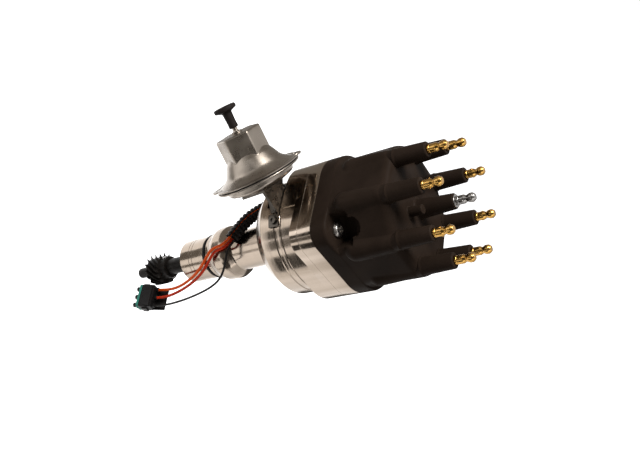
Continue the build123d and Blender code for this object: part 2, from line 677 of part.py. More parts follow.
def rotor():
    """Moulded rotor: disc on the weight posts, tapered tower and the arm under the blade."""
    body = turned(
        [(0, POST_TOP_Z), (ROTOR_DISC_R, POST_TOP_Z), (ROTOR_DISC_R, POST_TOP_Z + ROTOR_DISC_T),
         (ROTOR_TOWER_FOOT_R, POST_TOP_Z + ROTOR_DISC_T), (ROTOR_TOWER_R, ROTOR_TOP_Z), (0, ROTOR_TOP_Z)],
        [((ROTOR_TOWER_FOOT_R, POST_TOP_Z + ROTOR_DISC_T), ROTOR_BLEND_R)],
    )
    arm = SlotCenterPoint((0, 0), (ROTOR_ARM_REACH - ROTOR_ARM_W / 2, 0), ROTOR_ARM_W)
    body += Rot(0, 0, ROTOR_AZ) * slab(arm, ROTOR_TOP_Z - ROTOR_ARM_T, ROTOR_TOP_Z)
    for turn in (0, 180):
        body -= post(ROTOR_SCREW_R, POST_TOP_Z, POST_TOP_Z + ROTOR_DISC_T, polar(PIVOT_DISTANCE, turn))
    return body


def rotor_blade():
    """Strip from under the brush to the gap at the plug contacts."""
    strip = flat(
        [(-BLADE_W / 2, -BLADE_W / 2), (ROTOR_TIP_R * 0.7, -BLADE_W / 2), (ROTOR_TIP_R, -BLADE_TIP_W / 2),
         (ROTOR_TIP_R, BLADE_TIP_W / 2), (ROTOR_TIP_R * 0.7, BLADE_W / 2), (-BLADE_W / 2, BLADE_W / 2)]
    )
    strip = slab(strip, BLADE_Z, BLADE_Z + BLADE_T) & post(ROTOR_TIP_R, BLADE_Z, BLADE_Z + BLADE_T)
    return Rot(0, 0, ROTOR_AZ) * strip


def screw(thread_r, head_r, head_t, low_z, seat_z, centre):
    """Plain screw with its head on a seat and a round recess in the head."""
    body = post(thread_r, low_z, seat_z, centre) + post(head_r, seat_z, seat_z + head_t, centre)
    recess_low = seat_z + head_t * (1 - RECESS_DEPTH_SHARE)
    return body - post(head_r * RECESS_R_SHARE, recess_low, seat_z + head_t, centre)


# Cap

def skirt_outline():
    """Round skirt with four flats beside the ears and a flat panel at each ear."""
    sides = [(0, PANEL_DISTANCE), (FLAT_TURN, SKIRT_FLAT), (180 - FLAT_TURN, SKIRT_FLAT),
             (180, PANEL_DISTANCE), (180 + FLAT_TURN, SKIRT_FLAT), (-FLAT_TURN, SKIRT_FLAT)]
    face = Circle(SKIRT_R)
    for azimuth, distance in sides:
        keep = Pos(distance - 2 * SKIRT_R, 0) * Rectangle(4 * SKIRT_R, 4 * SKIRT_R)
        face = face & (Rot(0, 0, azimuth) * keep)
    return face


def cap_cavity():
    """Room for the rotor, less the walls round the two screw pockets."""
    room = turned(
        [(0, CAP_JOINT_Z - CAP_LIP_DEPTH), (CAP_BORE_R, CAP_JOINT_Z - CAP_LIP_DEPTH),
         (CAP_BORE_R, CAP_BORE_TOP_Z), (CAP_CROWN_R, CAP_CROWN_Z), (BRUSH_BOSS_R, CAP_CROWN_Z),
         (BRUSH_BOSS_R, BRUSH_BOSS_Z), (0, BRUSH_BOSS_Z)]
    )
    for turn in (0, 180):
        width = 2 * (POCKET_HALF_WIDTH + POCKET_WALL)
        height = POCKET_TOP_Z + POCKET_WALL - CAP_JOINT_Z
        block = Box(SKIRT_R, width, height, align=(Align.MIN, Align.CENTER, Align.MIN))
        room -= Rot(0, 0, turn) * Pos(POCKET_BACK - POCKET_WALL, 0, CAP_JOINT_Z) * block
        centre = polar(CAP_SCREW_DISTANCE, turn)
        room -= post(DRIVER_R + POCKET_WALL, CAP_JOINT_Z, DRIVER_TOP_Z + POCKET_WALL, centre)
    return room


def screw_pocket():
    """Recess over an ear, with the half-round groove that lets a driver reach the screw."""
    width = 2 * POCKET_HALF_WIDTH
    height = POCKET_TOP_Z - FLANGE_TOP_Z
    block = Box(SKIRT_R, width, height, align=(Align.MIN, Align.CENTER, Align.MIN))
    block = fillet(block.edges().filter_by(Axis.Z), POCKET_CORNER_R)
    pocket = Pos(POCKET_BACK, 0, FLANGE_TOP_Z) * block
    centre = (CAP_SCREW_DISTANCE, 0)
    pocket += post(DRIVER_R, FLANGE_TOP_Z, DRIVER_TOP_Z - DRIVER_R, centre)
    pocket += Pos(CAP_SCREW_DISTANCE, 0, DRIVER_TOP_Z - DRIVER_R) * Sphere(DRIVER_R)
    return pocket


def cap_tower(top_z, foot_r):
    """Tapered plug tower with a softened mouth."""
    low_z = DECK_Z - DECK_FILLET
    return turned(
        [(0, low_z), (foot_r, low_z), (foot_r, DECK_Z), (TOWER_TOP_R, top_z), (0, top_z)],
        [((TOWER_TOP_R, top_z), TOWER_EDGE_R)],
    )


def distributor_cap():
    """Moulded cap, built with its ears along X and turned into place."""
    flange = slab(Rot(0, 0, -EAR_AZ) * diamond(), CAP_JOINT_Z, FLANGE_TOP_Z)
    flange = fillet(flange.edges().group_by(Axis.Z)[-1], FLANGE_FILLET)
    skirt = slab(skirt_outline(), CAP_JOINT_Z, DECK_Z)
    for azimuth in [az - EAR_AZ for az in TOWER_AZ]:
        centre = polar(TOWER_RING_R, azimuth)
        skirt += post(RIDGE_R, RIDGE_LOW_Z + RIDGE_R, DECK_Z, centre)
        skirt += Pos(centre[0], centre[1], RIDGE_LOW_Z + RIDGE_R) * Sphere(RIDGE_R)
    envelope_r = TOWER_RING_R + RIDGE_R + 0.1
    envelope = turned(
        [(0, CAP_JOINT_Z), (envelope_r, CAP_JOINT_Z), (envelope_r, DECK_Z), (0, DECK_Z)],
        [((envelope_r, DECK_Z), DECK_FILLET)],
    )
    body = flange + (skirt & envelope)
    for azimuth in [az - EAR_AZ for az in TOWER_AZ]:
        centre = polar(TOWER_RING_R, azimuth)
        body += Pos(centre[0], centre[1], 0) * cap_tower(TOWER_TOP_Z, TOWER_FOOT_R)
    body += cap_tower(COIL_TOWER_TOP_Z, COIL_TOWER_FOOT_R)
    body += post(BOSS_R, DECK_Z - DECK_FILLET, DECK_Z + BOSS_HEIGHT, (BOSS_DISTANCE, 0))
    body += post(TOP_BORE_R - SPIGOT_GAP, CAP_JOINT_Z - CAP_LIP_DEPTH, CAP_JOINT_Z + 1)
    body -= cap_cavity()
    for turn in (0, 180):
        body -= Rot(0, 0, turn) * screw_pocket()
        centre = polar(CAP_SCREW_DISTANCE, turn)
        body -= post(SCREW_BOSS_R + FREE, CAP_JOINT_Z - CAP_LIP_DEPTH, CAP_JOINT_Z, centre)
        body -= post(CAP_SCREW_R + CAP_SCREW_HOLE_GAP, CAP_JOINT_Z, FLANGE_TOP_Z, centre)
    for azimuth in [az - EAR_AZ for az in TOWER_AZ]:
        centre = polar(TOWER_RING_R, azimuth)
        body -= post(STEM_R, CONTACT_LOW_Z, TOWER_TOP_Z, centre)
        body -= post(CONTACT_R, CONTACT_LOW_Z, CONTACT_HIGH_Z, centre)
    body -= post(STEM_R, COIL_STEM_Z, COIL_TOWER_TOP_Z)
    body -= post(BRUSH_R + RUNNING, BRUSH_BOSS_Z, COIL_STEM_Z)
    return Rot(0, 0, EAR_AZ) * body


def plug_terminal(azimuth):
    """Brass insert: contact inside the cap, stem, post with two nibs, neck and ball."""
    top = TOWER_TOP_Z + POST_LENGTH
    body = turned(
        [(0, CONTACT_LOW_Z), (CONTACT_R, CONTACT_LOW_Z), (CONTACT_R, CONTACT_HIGH_Z),
         (STEM_R, CONTACT_HIGH_Z), (STEM_R, TOWER_TOP_Z), (POST_R, TOWER_TOP_Z), (POST_R, top),
         (NECK_R, top + POST_R - NECK_R), (NECK_R, BALL_Z), (0, BALL_Z)]
    )
    body += Pos(0, 0, BALL_Z) * Sphere(BALL_R)
    nib = Rot(0, 90, 90) * Cylinder(NIB_R, 2 * (POST_R + NIB_PROUD))
    body += Pos(0, 0, TOWER_TOP_Z + POST_LENGTH / 2) * nib
    centre = polar(TOWER_RING_R, azimuth)
    return Pos(centre[0], centre[1], 0) * Rot(0, 0, azimuth) * body


def coil_terminal():
    foot = COIL_WASHER_TOP_Z
    top = foot + POST_LENGTH
    body = turned(
        [(0, COIL_STEM_Z), (STEM_R, COIL_STEM_Z), (STEM_R, foot), (POST_R, foot), (POST_R, top),
         (NECK_R, top + POST_R - NECK_R), (NECK_R, COIL_BALL_Z), (0, COIL_BALL_Z)]
    )
    return body + Pos(0, 0, COIL_BALL_Z) * Sphere(BALL_R)


# Pickup

def base_plate():
    """Fixed plate on the three pillars, with its screws."""
    body = tube(BASE_PLATE_R, RING_R, BASE_PLATE_Z, BASE_TOP_Z)
    for azimuth in BASE_LUG_AZ:
        centre = polar(BASE_LUG_DISTANCE, azimuth)
        body += post(BASE_SCREW_R, BOWL_FLOOR_Z, BASE_TOP_Z, centre)
        body += post(BASE_SCREW_HEAD_R, BASE_TOP_Z, BASE_TOP_Z + BASE_SCREW_HEAD_T, centre)
    window_outer_r = BASE_PLATE_R - BASE_WINDOW_RIM
    window_inner_r = RING_FLANGE_R + BASE_WINDOW_RIM / 2
    return body - sector(window_outer_r, window_inner_r, *BASE_WINDOW_AZ, BASE_PLATE_Z, BASE_TOP_Z)


def bearing_ring():
    """Ring that the pickup plate turns on."""
    body = tube(RING_R, RING_R - RING_WALL, BASE_PLATE_Z, BASE_TOP_Z + RING_HEIGHT)
    return body + tube(RING_FLANGE_R, RING_R - RING_WALL, BASE_TOP_Z, BASE_TOP_Z + RING_FLANGE_T)


def pickup_plate():
    """Moving plate with the pin that the vacuum link pulls."""
    body = tube(PICKUP_PLATE_R, RING_R + RUNNING, PICKUP_PLATE_Z, PICKUP_TOP_Z)
    return body + post(LINK_PIN_R, PICKUP_PLATE_Z, PICKUP_TOP_Z + LINK_PIN_HEIGHT, LINK_PIN_XY)


def pole_piece():
    """Iron pole: tip at the reluctor, bar through the coil and a leg down to the plate."""
    tip = RELUCTOR_TIP_R + POLE_GAP
    leg_end = COIL_START_R + COIL_LENGTH + POLE_LEG_T
    half = POLE_W / 2
    bar = Box(leg_end - tip, POLE_W, POLE_W, align=(Align.MIN, Align.CENTER, Align.CENTER))
    leg_height = RELUCTOR_MID_Z + half - PICKUP_TOP_Z
    leg = Box(POLE_LEG_T, 3 * POLE_W, leg_height, align=(Align.MAX, Align.CENTER, Align.MIN))
    body = Pos(tip, 0, RELUCTOR_MID_Z) * bar + Pos(leg_end, 0, PICKUP_TOP_Z) * leg
    return Rot(0, 0, PICKUP_AZ) * body


def pickup_coil():
    """Wound bobbin on the pole."""
    coil = turned(
        [(0, 0), (COIL_R, 0), (COIL_R, BOBBIN_T), (COIL_R - BOBBIN_LIP, BOBBIN_T),
         (COIL_R - BOBBIN_LIP, COIL_LENGTH - BOBBIN_T), (COIL_R, COIL_LENGTH - BOBBIN_T),
         (COIL_R, COIL_LENGTH), (0, COIL_LENGTH)]
    )
    coil -= Pos(0, 0, COIL_LENGTH / 2) * Box(POLE_W, POLE_W, COIL_LENGTH)
    return radially(PICKUP_AZ, RELUCTOR_MID_Z, Pos(0, 0, COIL_START_R) * coil)


def ignition_module():
    """Curved electronic module on the bowl floor."""
    first, last = MODULE_AZ
    top = BOWL_FLOOR_Z + MODULE_H
    body = sector(BOWL_INNER_R - MODULE_GAP, MODULE_INNER_R, first, last, BOWL_FLOOR_Z, top)
    return fillet(body.edges().filter_by(Axis.Z), MODULE_CORNER_R)


# Vacuum canister, built along its own axis

def canister_cup():
    """Pressed base of the canister, open to the bracket for the link."""
    inner_r = CUP_R - SHEET
    body = turned(
        [(LINK_HOLE_R, CUP_BOTTOM), (CUP_BOTTOM_R, CUP_BOTTOM), (CUP_R, CUP_SHOULDER),
         (CUP_R, CUP_LIP - SHEET), (FLANGE_R, CUP_LIP - SHEET), (FLANGE_R, CUP_LIP), (inner_r, CUP_LIP),
         (inner_r, CUP_SHOULDER + SHEET / 2), (CUP_BOTTOM_R - SHEET / 2, CUP_BOTTOM + SHEET),
         (LINK_HOLE_R, CUP_BOTTOM + SHEET)]
    )
    return CAN * body


def diaphragm():
    edge = FLANGE_R - SHEET / 2
    return CAN * tube(edge, DIAPHRAGM_HOLE_R, CUP_LIP, CUP_LIP + DIAPHRAGM_T)


def canister_ears():
    """Two slotted lugs on the rim of the cover."""
    low = CUP_LIP + DIAPHRAGM_T
    plate = SlotCenterPoint((0, 0), (CAN_EAR_R - CAN_EAR_HALF_WIDTH, 0), 2 * CAN_EAR_HALF_WIDTH)
    body = slab(plate, low, low + SHEET)
    slot = Rot(0, 0, 90) * SlotOverall(CAN_SLOT_LENGTH, CAN_SLOT_W)
    body -= Pos(CAN_SLOT_DISTANCE, 0, 0) * slab(slot, low, low + SHEET)
    return body


def canister_cover():
    """Bell-shaped cover that runs out into a hexagonal spring housing."""
    low = CUP_LIP + DIAPHRAGM_T
    top = low + SHEET
    spread_r = BELL_WAIST_R + BELL_SPREAD
    bell = turned(
        [(0, low), (FLANGE_R, low), (FLANGE_R, top), (BELL_FOOT_R, top), (spread_r, top + BELL_STEP),
         (BELL_WAIST_R, BELL_WAIST), (HEX_CORNER_R - 1, HEX_LOW), (0, HEX_LOW)],
        [((spread_r, top + BELL_STEP), BELL_CURVE_R)],
    )
    hexagon = Rot(0, 0, HEX_TURN) * RegularPolygon(HEX_CORNER_R + HEX_CORNER_TRIM, 6)
    hexagon = fillet(hexagon.vertices(), HEX_CORNER_FILLET)
    drum = slab(hexagon, BELL_WAIST, HEX_TOP)
    drum = fillet(drum.edges().group_by(Axis.Z)[-1], HEX_EDGE_R)
    cone_r = HEX_CORNER_R + 1
    cone = turned(
        [(0, BELL_WAIST), (BELL_WAIST_R - HEX_CONE, BELL_WAIST), (cone_r, HEX_LOW), (cone_r, HEX_TOP),
         (0, HEX_TOP)]
    )
    body = bell + (drum & cone)
    for turn in (CAN_EAR_TURN, CAN_EAR_TURN + 180):
        body += Rot(0, 0, 90 + turn) * canister_ears()
    inner_r = BELL_WAIST_R - SHEET
    drum_r = HEX_CORNER_R * cos(pi / 6) - HEX_WALL
    room = turned(
        [(0, low), (BELL_FOOT_R - SHEET, low), (spread_r - SHEET, top + BELL_STEP - SHEET),
         (inner_r, BELL_WAIST - SHEET), (drum_r, HEX_LOW), (drum_r, HEX_TOP - HEX_WALL),
         (0, HEX_TOP - HEX_WALL)],
        [((spread_r - SHEET, top + BELL_STEP - SHEET), BELL_CURVE_R)],
    )
    body -= room
    return CAN * (body - post(NIPPLE_R, HEX_TOP - HEX_WALL, HEX_TOP))


def hose_nipple():
    """Collar and hose tube."""
    body = post(NIPPLE_R, HEX_TOP - HEX_WALL, NIPPLE_END)
    body += post(NIPPLE_NUT_R, HEX_TOP, HEX_TOP + NIPPLE_NUT_T)
    return CAN * (body - post(NIPPLE_BORE_R, HEX_TOP - HEX_WALL, NIPPLE_END))


def port_cap():
    """Rubber T-shaped cap pushed over the hose nipple."""
    head_low = PORT_CAP_TOP - PORT_CAP_HEAD_T
    body = turned(
        [(0, PORT_CAP_LOW), (PORT_CAP_R, PORT_CAP_LOW), (PORT_CAP_R, head_low), (PORT_CAP_HEAD_R, head_low),
         (PORT_CAP_HEAD_R, PORT_CAP_TOP), (0, PORT_CAP_TOP)],
        [((PORT_CAP_HEAD_R, head_low), PORT_CAP_EDGE_R), ((PORT_CAP_HEAD_R, PORT_CAP_TOP), PORT_CAP_EDGE_R)],
    )
    return CAN * (body - post(NIPPLE_R + RUNNING, PORT_CAP_LOW, NIPPLE_END + FREE))


def vacuum_link():
    """Strip from the pickup plate's pin to the plate behind the diaphragm."""
    pin_place = LINK_PIN_XY[0] / cos(radians(CAN_TILT_DEG))
    strip_length = SPRING_FOOT - pin_place
    strip = Box(LINK_T, LINK_W, strip_length, align=(Align.CENTER, Align.CENTER, Align.MIN))
    body = Pos(0, 0, pin_place) * strip
    body += Pos(0, 0, pin_place) * Rot(0, 90, 0) * Cylinder(LINK_EYE_R, LINK_T)
    body -= Pos(0, 0, pin_place) * Rot(0, 90, 0) * Cylinder(LINK_PIN_R + FREE, 4 * LINK_T)
    body += post(DIAPHRAGM_PLATE_R, SPRING_FOOT - DIAPHRAGM_PLATE_T, SPRING_FOOT)
    return CAN * body


def canister_spring():
    """Coil spring that returns the diaphragm plate."""
    pitch = (CAN_SPRING_LENGTH - CAN_SPRING_WIRE) / CAN_SPRING_TURNS
    helix = Helix(pitch, pitch * CAN_SPRING_TURNS, CAN_SPRING_R)
    wire = sweep((helix ^ 0) * Circle(CAN_SPRING_WIRE / 2), path=helix)
    return CAN * Pos(0, 0, SPRING_FOOT + CAN_SPRING_WIRE / 2) * wire


# Bracket

def bracket():
    """Flat arm from the bowl to the canister, with a folded edge, a back plate and two tabs."""
    low = BRACKET_Z
    top = BRACKET_Z + BRACKET_T
    end_x = (CUP_BOTTOM - BACK_PLATE_T / 2) * cos(radians(CAN_TILT_DEG))
    root_y = CAN_OFFSET_Y - BRACKET_HALF_ROOT
    near = [(BRACKET_ROOT_X, CAN_OFFSET_Y + BRACKET_HALF_ROOT), (end_x, CAN_OFFSET_Y + BRACKET_HALF_END)]
    far = [(end_x, CAN_OFFSET_Y - BRACKET_HALF_END), (BRACKET_FAR_X, root_y), (BRACKET_ROOT_X, root_y)]
    body = slab(flat(near + far), low, top)
    run = Vector(*near[1]) - Vector(*near[0])
    fold_start = (BRACKET_FOLD_X - near[0][0]) / run.X
    fold_length = run.length * (1 - fold_start)
    fold = Box(fold_length, BRACKET_T, BRACKET_FOLD, align=(Align.MIN, Align.MAX, Align.MAX))
    corner = Vector(*near[0]) + run * fold_start
    body += Pos(corner.X, corner.Y, top) * Rot(0, 0, Vector(1, 0).get_signed_angle(run)) * fold
    drop = CAN_AXIS_Z - CUP_BOTTOM * sin(radians(CAN_TILT_DEG))
    back = Box(top - drop + BACK_PLATE_DROP, 2 * BRACKET_HALF_END, BACK_PLATE_T,
               align=(Align.MIN, Align.CENTER, Align.MAX))
    link_hole = post(LINK_HOLE_R, CUP_BOTTOM - 2 * BACK_PLATE_T, CUP_BOTTOM)
    body += CAN * (Pos(drop - top, 0, CUP_BOTTOM) * back - link_hole)
    for azimuth in TAB_AZ:
        first, last = azimuth - TAB_HALF_DEG, azimuth + TAB_HALF_DEG
        body += sector(TAB_OUTER_R, TAB_INNER_R, first, last, top - TAB_HEIGHT, top)
        body -= radially(azimuth, TAB_SCREW_Z, post(TAB_SCREW_R, BOWL_R - 2, TAB_OUTER_R + 2))
    return body


def bracket_screw(azimuth):
    """Screw through a bracket tab into the bowl wall."""
    body = post(TAB_SCREW_R, BOWL_INNER_R, TAB_OUTER_R)
    body += post(TAB_SCREW_HEAD_R, TAB_OUTER_R, TAB_OUTER_R + TAB_SCREW_HEAD_T)
    recess_low = TAB_OUTER_R + TAB_SCREW_HEAD_T * (1 - RECESS_DEPTH_SHARE)
    body -= post(TAB_SCREW_HEAD_R * RECESS_R_SHARE, recess_low, TAB_OUTER_R + TAB_SCREW_HEAD_T)
    return radially(azimuth, TAB_SCREW_Z, body)


# Harness

def corner_radii(points):
    """Largest arcs that the straight runs leave room for."""
    spots = [Vector(*point) for point in points]
    radii = []
    for before, here, after in zip(spots, spots[1:], spots[2:]):
        turn = (here - before).get_angle(after - here)
        shorter = min((here - before).length, (after - here).length)
        radii.append(0.45 * shorter / tan(radians(turn) / 2))
    return radii


def cord(name, points, radius):
    """Round cord along straight runs joined by tangent arcs."""
    radii = corner_radii(points)
    print(name, "radii", [round(value, 1) for value in radii])
    path = FilletPolyline(*points, radius=radii)
    body = sweep((path ^ 0) * Circle(radius), path=path)
    ratio = body.volume / (path.length * pi * radius ** 2)
    print(name, "length", round(path.length, 1), "volume ratio", round(ratio, 4))
    return body


def grommet():
    """Rubber grommet in the bowl floor round the loom."""
    centre = LOOM_ROUTE[0][:2]
    body = post(GROMMET_HOLE_R, BOWL_BOTTOM_Z, BOWL_FLOOR_Z, centre)
    body += post(GROMMET_R, BOWL_BOTTOM_Z - GROMMET_LIP, BOWL_BOTTOM_Z, centre)
    body += post(GROMMET_R, BOWL_FLOOR_Z, BOWL_FLOOR_Z + GROMMET_LIP, centre)
    return body - post(LOOM_R, BOWL_BOTTOM_Z - GROMMET_LIP, LOOM_ROUTE[0][2], centre)


def plug_place():
    return Plane(origin=PLUG_CENTRE, x_dir=PLUG_LONG_AXIS, z_dir=PLUG_MATING_AXIS)


def plug_body():
    """Three-way connector body with its latch skirt and sealed posts."""
    block = Box(PLUG_LENGTH, PLUG_THICKNESS, PLUG_DEPTH, align=(Align.CENTER, Align.CENTER, Align.MAX))
    block = fillet(block.edges().filter_by(Axis.Z), PLUG_CORNER_R)
    skirt = Box(PLUG_LENGTH - 2 * PLUG_CORNER_R, PLUG_SKIRT_T, PLUG_SKIRT_DEPTH,
                align=(Align.CENTER, Align.MAX if PLUG_SKIRT_SIDE > 0 else Align.MIN, Align.MAX))
    body = block + Pos(0, PLUG_SKIRT_SIDE * PLUG_THICKNESS / 2, 0) * skirt
    for offset in (-POST_PITCH, 0, POST_PITCH):
        body += post(PLUG_POST_R, -1, PLUG_SEAL_T + PLUG_POST_LENGTH, (offset, 0))
    return plug_place() * body


def plug_seal():
    """Ribbed seal round the posts."""
    length = PLUG_LENGTH - 2 * PLUG_SEAL_INSET
    thickness = PLUG_THICKNESS - 2 * PLUG_SEAL_INSET
    plate = Box(length, thickness, PLUG_SEAL_T, align=(Align.CENTER, Align.CENTER, Align.MIN))
    plate = fillet(plate.edges().filter_by(Axis.Z), PLUG_CORNER_R)
    for offset in (-POST_PITCH, 0, POST_PITCH):
        plate -= post(PLUG_POST_R, 0, PLUG_SEAL_T, (offset, 0))
    return plug_place() * plate


def everything():
    """All pieces by name."""
    pieces = {
        "housing": housing(),
        "housing_top": housing_top(),
        "lower_bushing": tube(BUSHING_R, SHAFT_R + RUNNING, PILOT_LOW_Z, PILOT_LOW_Z + LOWER_BUSHING_LENGTH),
        "upper_bushing": tube(BUSHING_R, SHAFT_R + RUNNING, BEARING_BOSS_TOP_Z - UPPER_BUSHING_LENGTH,
                              BEARING_BOSS_TOP_Z),
        "thrust_washer": tube(BEARING_BOSS_R - 1, SHAFT_R + RUNNING, BEARING_BOSS_TOP_Z, WASHER_TOP_Z),
        "block_o_ring": block_o_ring(),
        "drive_shaft": drive_shaft(),
        "drive_gear": drive_gear(),
        "gear_pin": gear_pin(),
        "centre_cam": centre_cam(),
        "cam_clip": tube(CLIP_R, SHAFT_TIP_R, CAM_HIGH_Z, CAM_HIGH_Z + CLIP_T),
        "advance_plate": advance_plate(),
        "reluctor": reluctor(),
        "weight_a": advance_weight(0),
        "weight_b": advance_weight(180),
        "advance_spring_a": advance_spring(0),
        "advance_spring_b": advance_spring(180),
        "rotor": rotor(),
        "rotor_blade": rotor_blade(),
        "distributor_cap": distributor_cap(),
        "coil_terminal": coil_terminal(),
        "coil_washer": tube(TERMINAL_WASHER_R, STEM_R, COIL_TOWER_TOP_Z, COIL_WASHER_TOP_Z),
        "carbon_brush": post(BRUSH_R, BRUSH_LOW_Z, BRUSH_HIGH_Z),
        "brush_spring": tube(BRUSH_SPRING_R, BRUSH_SPRING_R - BRUSH_SPRING_WIRE, BRUSH_HIGH_Z, COIL_STEM_Z),
        "base_plate": base_plate(),
        "bearing_ring": bearing_ring(),
        "bearing_clip": tube(BEARING_CLIP_R, RING_R, PICKUP_TOP_Z + FREE, PICKUP_TOP_Z + FREE + CLIP_T),
        "pickup_plate": pickup_plate(),
        "pole_piece": pole_piece(),
        "pickup_coil": pickup_coil(),
        "ignition_module": ignition_module(),
        "canister_cup": canister_cup(),
        "diaphragm": diaphragm(),
        "canister_cover": canister_cover(),
        "hose_nipple": hose_nipple(),
        "port_cap": port_cap(),
        "vacuum_link": vacuum_link(),
        "canister_spring": canister_spring(),
        "bracket": bracket(),
        "grommet": grommet(),
        "loom": cord("loom", LOOM_ROUTE, LOOM_R),
        "wire_orange": cord("orange wire", ORANGE_ROUTE, WIRE_R),
        "wire_red": cord("red wire", RED_ROUTE, WIRE_R),
        "wire_black": cord("black wire", BLACK_ROUTE, THIN_WIRE_R),
        "plug_body": plug_body(),
        "plug_seal": plug_seal(),
    }
    for number, azimuth in enumerate(TOWER_AZ, 1):
        pieces[f"plug_terminal_{number}"] = plug_terminal(azimuth)
    for number, azimuth in enumerate(EAR_AXES, 1):
        centre = polar(CAP_SCREW_DISTANCE, azimuth)
        low = CAP_JOINT_Z - CAP_SCREW_DEPTH
        pieces[f"cap_screw_{number}"] = screw(
            CAP_SCREW_R, CAP_SCREW_HEAD_R, CAP_SCREW_HEAD_T, low, FLANGE_TOP_Z, centre)
    for number, turn in enumerate((0, 180), 1):
        low = POST_TOP_Z - ROTOR_SCREW_DEPTH
        pieces[f"rotor_screw_{number}"] = screw(
            ROTOR_SCREW_R, ROTOR_SCREW_HEAD_R, ROTOR_SCREW_HEAD_T, low, POST_TOP_Z + ROTOR_DISC_T,
            polar(PIVOT_DISTANCE, turn))
    for number, azimuth in enumerate(TAB_AZ, 1):
        pieces[f"bracket_screw_{number}"] = bracket_screw(azimuth)
    return pieces


for name, shape in everything().items():
    export_step(shape, f"parts/{name}.step")
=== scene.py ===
import math

import bmesh
import bpy
import numpy as np
from mathutils import Matrix


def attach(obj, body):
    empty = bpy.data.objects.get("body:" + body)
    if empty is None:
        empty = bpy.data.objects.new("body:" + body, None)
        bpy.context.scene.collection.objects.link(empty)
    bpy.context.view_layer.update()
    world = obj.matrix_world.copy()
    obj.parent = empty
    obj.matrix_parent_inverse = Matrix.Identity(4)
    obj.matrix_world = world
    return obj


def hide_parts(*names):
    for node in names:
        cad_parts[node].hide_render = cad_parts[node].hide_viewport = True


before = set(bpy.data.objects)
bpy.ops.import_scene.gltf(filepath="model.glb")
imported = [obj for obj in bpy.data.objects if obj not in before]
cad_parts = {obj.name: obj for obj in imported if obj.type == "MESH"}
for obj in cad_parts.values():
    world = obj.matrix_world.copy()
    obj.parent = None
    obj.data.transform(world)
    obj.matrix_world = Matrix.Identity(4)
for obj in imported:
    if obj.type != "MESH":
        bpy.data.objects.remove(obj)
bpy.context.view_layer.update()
mm = 0.001


# Camera. It stands where the photographer stood: above the plug towers, looking down the length of the
# shaft, with the shaft end far away at the left. The lens and place come from fitting the towers' circle.
lens = bpy.data.cameras.new("camera")
lens.lens, lens.sensor_width, lens.sensor_fit = 42.19, 36.0, "HORIZONTAL"
lens.clip_start, lens.clip_end = 0.01, 50.0
camera = bpy.data.objects.new("camera", lens)
to_right = (-0.3916, -0.4306, 0.8131)
to_down = (-0.8783, 0.4385, -0.1908)
ahead = (-0.2744, -0.7889, -0.5499)
station = (0.1472, 0.4153, 0.3892)
camera.matrix_world = Matrix(
    [[to_right[i], -to_down[i], -ahead[i], station[i]] for i in range(3)] + [[0, 0, 0, 1]]
)
bpy.context.collection.objects.link(camera)
bpy.context.scene.camera = camera


# Loom and wires. A split convoluted tube leaves a grommet in the bowl floor, and three separate wires come
# out of its end: orange and red of the same size and a thinner black one. They end in the connector.
def cord_line(name, points, radius):
    """Round cord on a smooth spline whose control points are the route, in millimetres."""
    data = bpy.data.curves.new(name, "CURVE")
    data.dimensions = "3D"
    data.bevel_depth = radius * mm
    data.bevel_resolution = 6
    data.resolution_u = 24
    data.use_fill_caps = True
    line = data.splines.new("NURBS")
    line.points.add(len(points) - 1)
    for spot, point in zip(line.points, points):
        spot.co = (point[0] * mm, point[1] * mm, point[2] * mm, 1.0)
    line.order_u = 3
    line.use_endpoint_u = True
    piece = bpy.data.objects.new(name, data)
    bpy.context.collection.objects.link(piece)
    return piece


def line_points(name, points):
    """Even steps along the same spline, as an array in metres."""
    probe = cord_line(name, points, 0.0)
    probe.data.bevel_depth = 0.0
    probe.data.resolution_u = 48
    mesh = bpy.data.meshes.new_from_object(probe)
    spots = np.empty(len(mesh.vertices) * 3)
    mesh.vertices.foreach_get("co", spots)
    bpy.data.meshes.remove(mesh)
    curve = probe.data
    bpy.data.objects.remove(probe)
    bpy.data.curves.remove(curve)
    return spots.reshape(-1, 3)


def shader(name, colour, rough, metal=0.0, **more):
    """Principled material with plain sockets; more sets further sockets by name."""
    material = bpy.data.materials.new(name)
    material.use_nodes = True
    node = material.node_tree.nodes["Principled BSDF"]
    node.inputs["Base Color"].default_value = (*colour, 1.0)
    node.inputs["Roughness"].default_value = rough
    node.inputs["Metallic"].default_value = metal
    for socket, value in more.items():
        node.inputs[socket.replace("_", " ")].default_value = value
    return material


def object_noise(tree, scale, detail, stretch):
    """Noise over the object's own coordinates, each multiplied by its stretch first."""
    place = tree.nodes.new("ShaderNodeTexCoord")
    turn = tree.nodes.new("ShaderNodeMapping")
    turn.inputs["Scale"].default_value = stretch
    noise = tree.nodes.new("ShaderNodeTexNoise")
    noise.inputs["Scale"].default_value = scale
    noise.inputs["Detail"].default_value = detail
    tree.links.new(place.outputs["Object"], turn.inputs["Vector"])
    tree.links.new(turn.outputs["Vector"], noise.inputs["Vector"])
    return noise.outputs["Fac"]


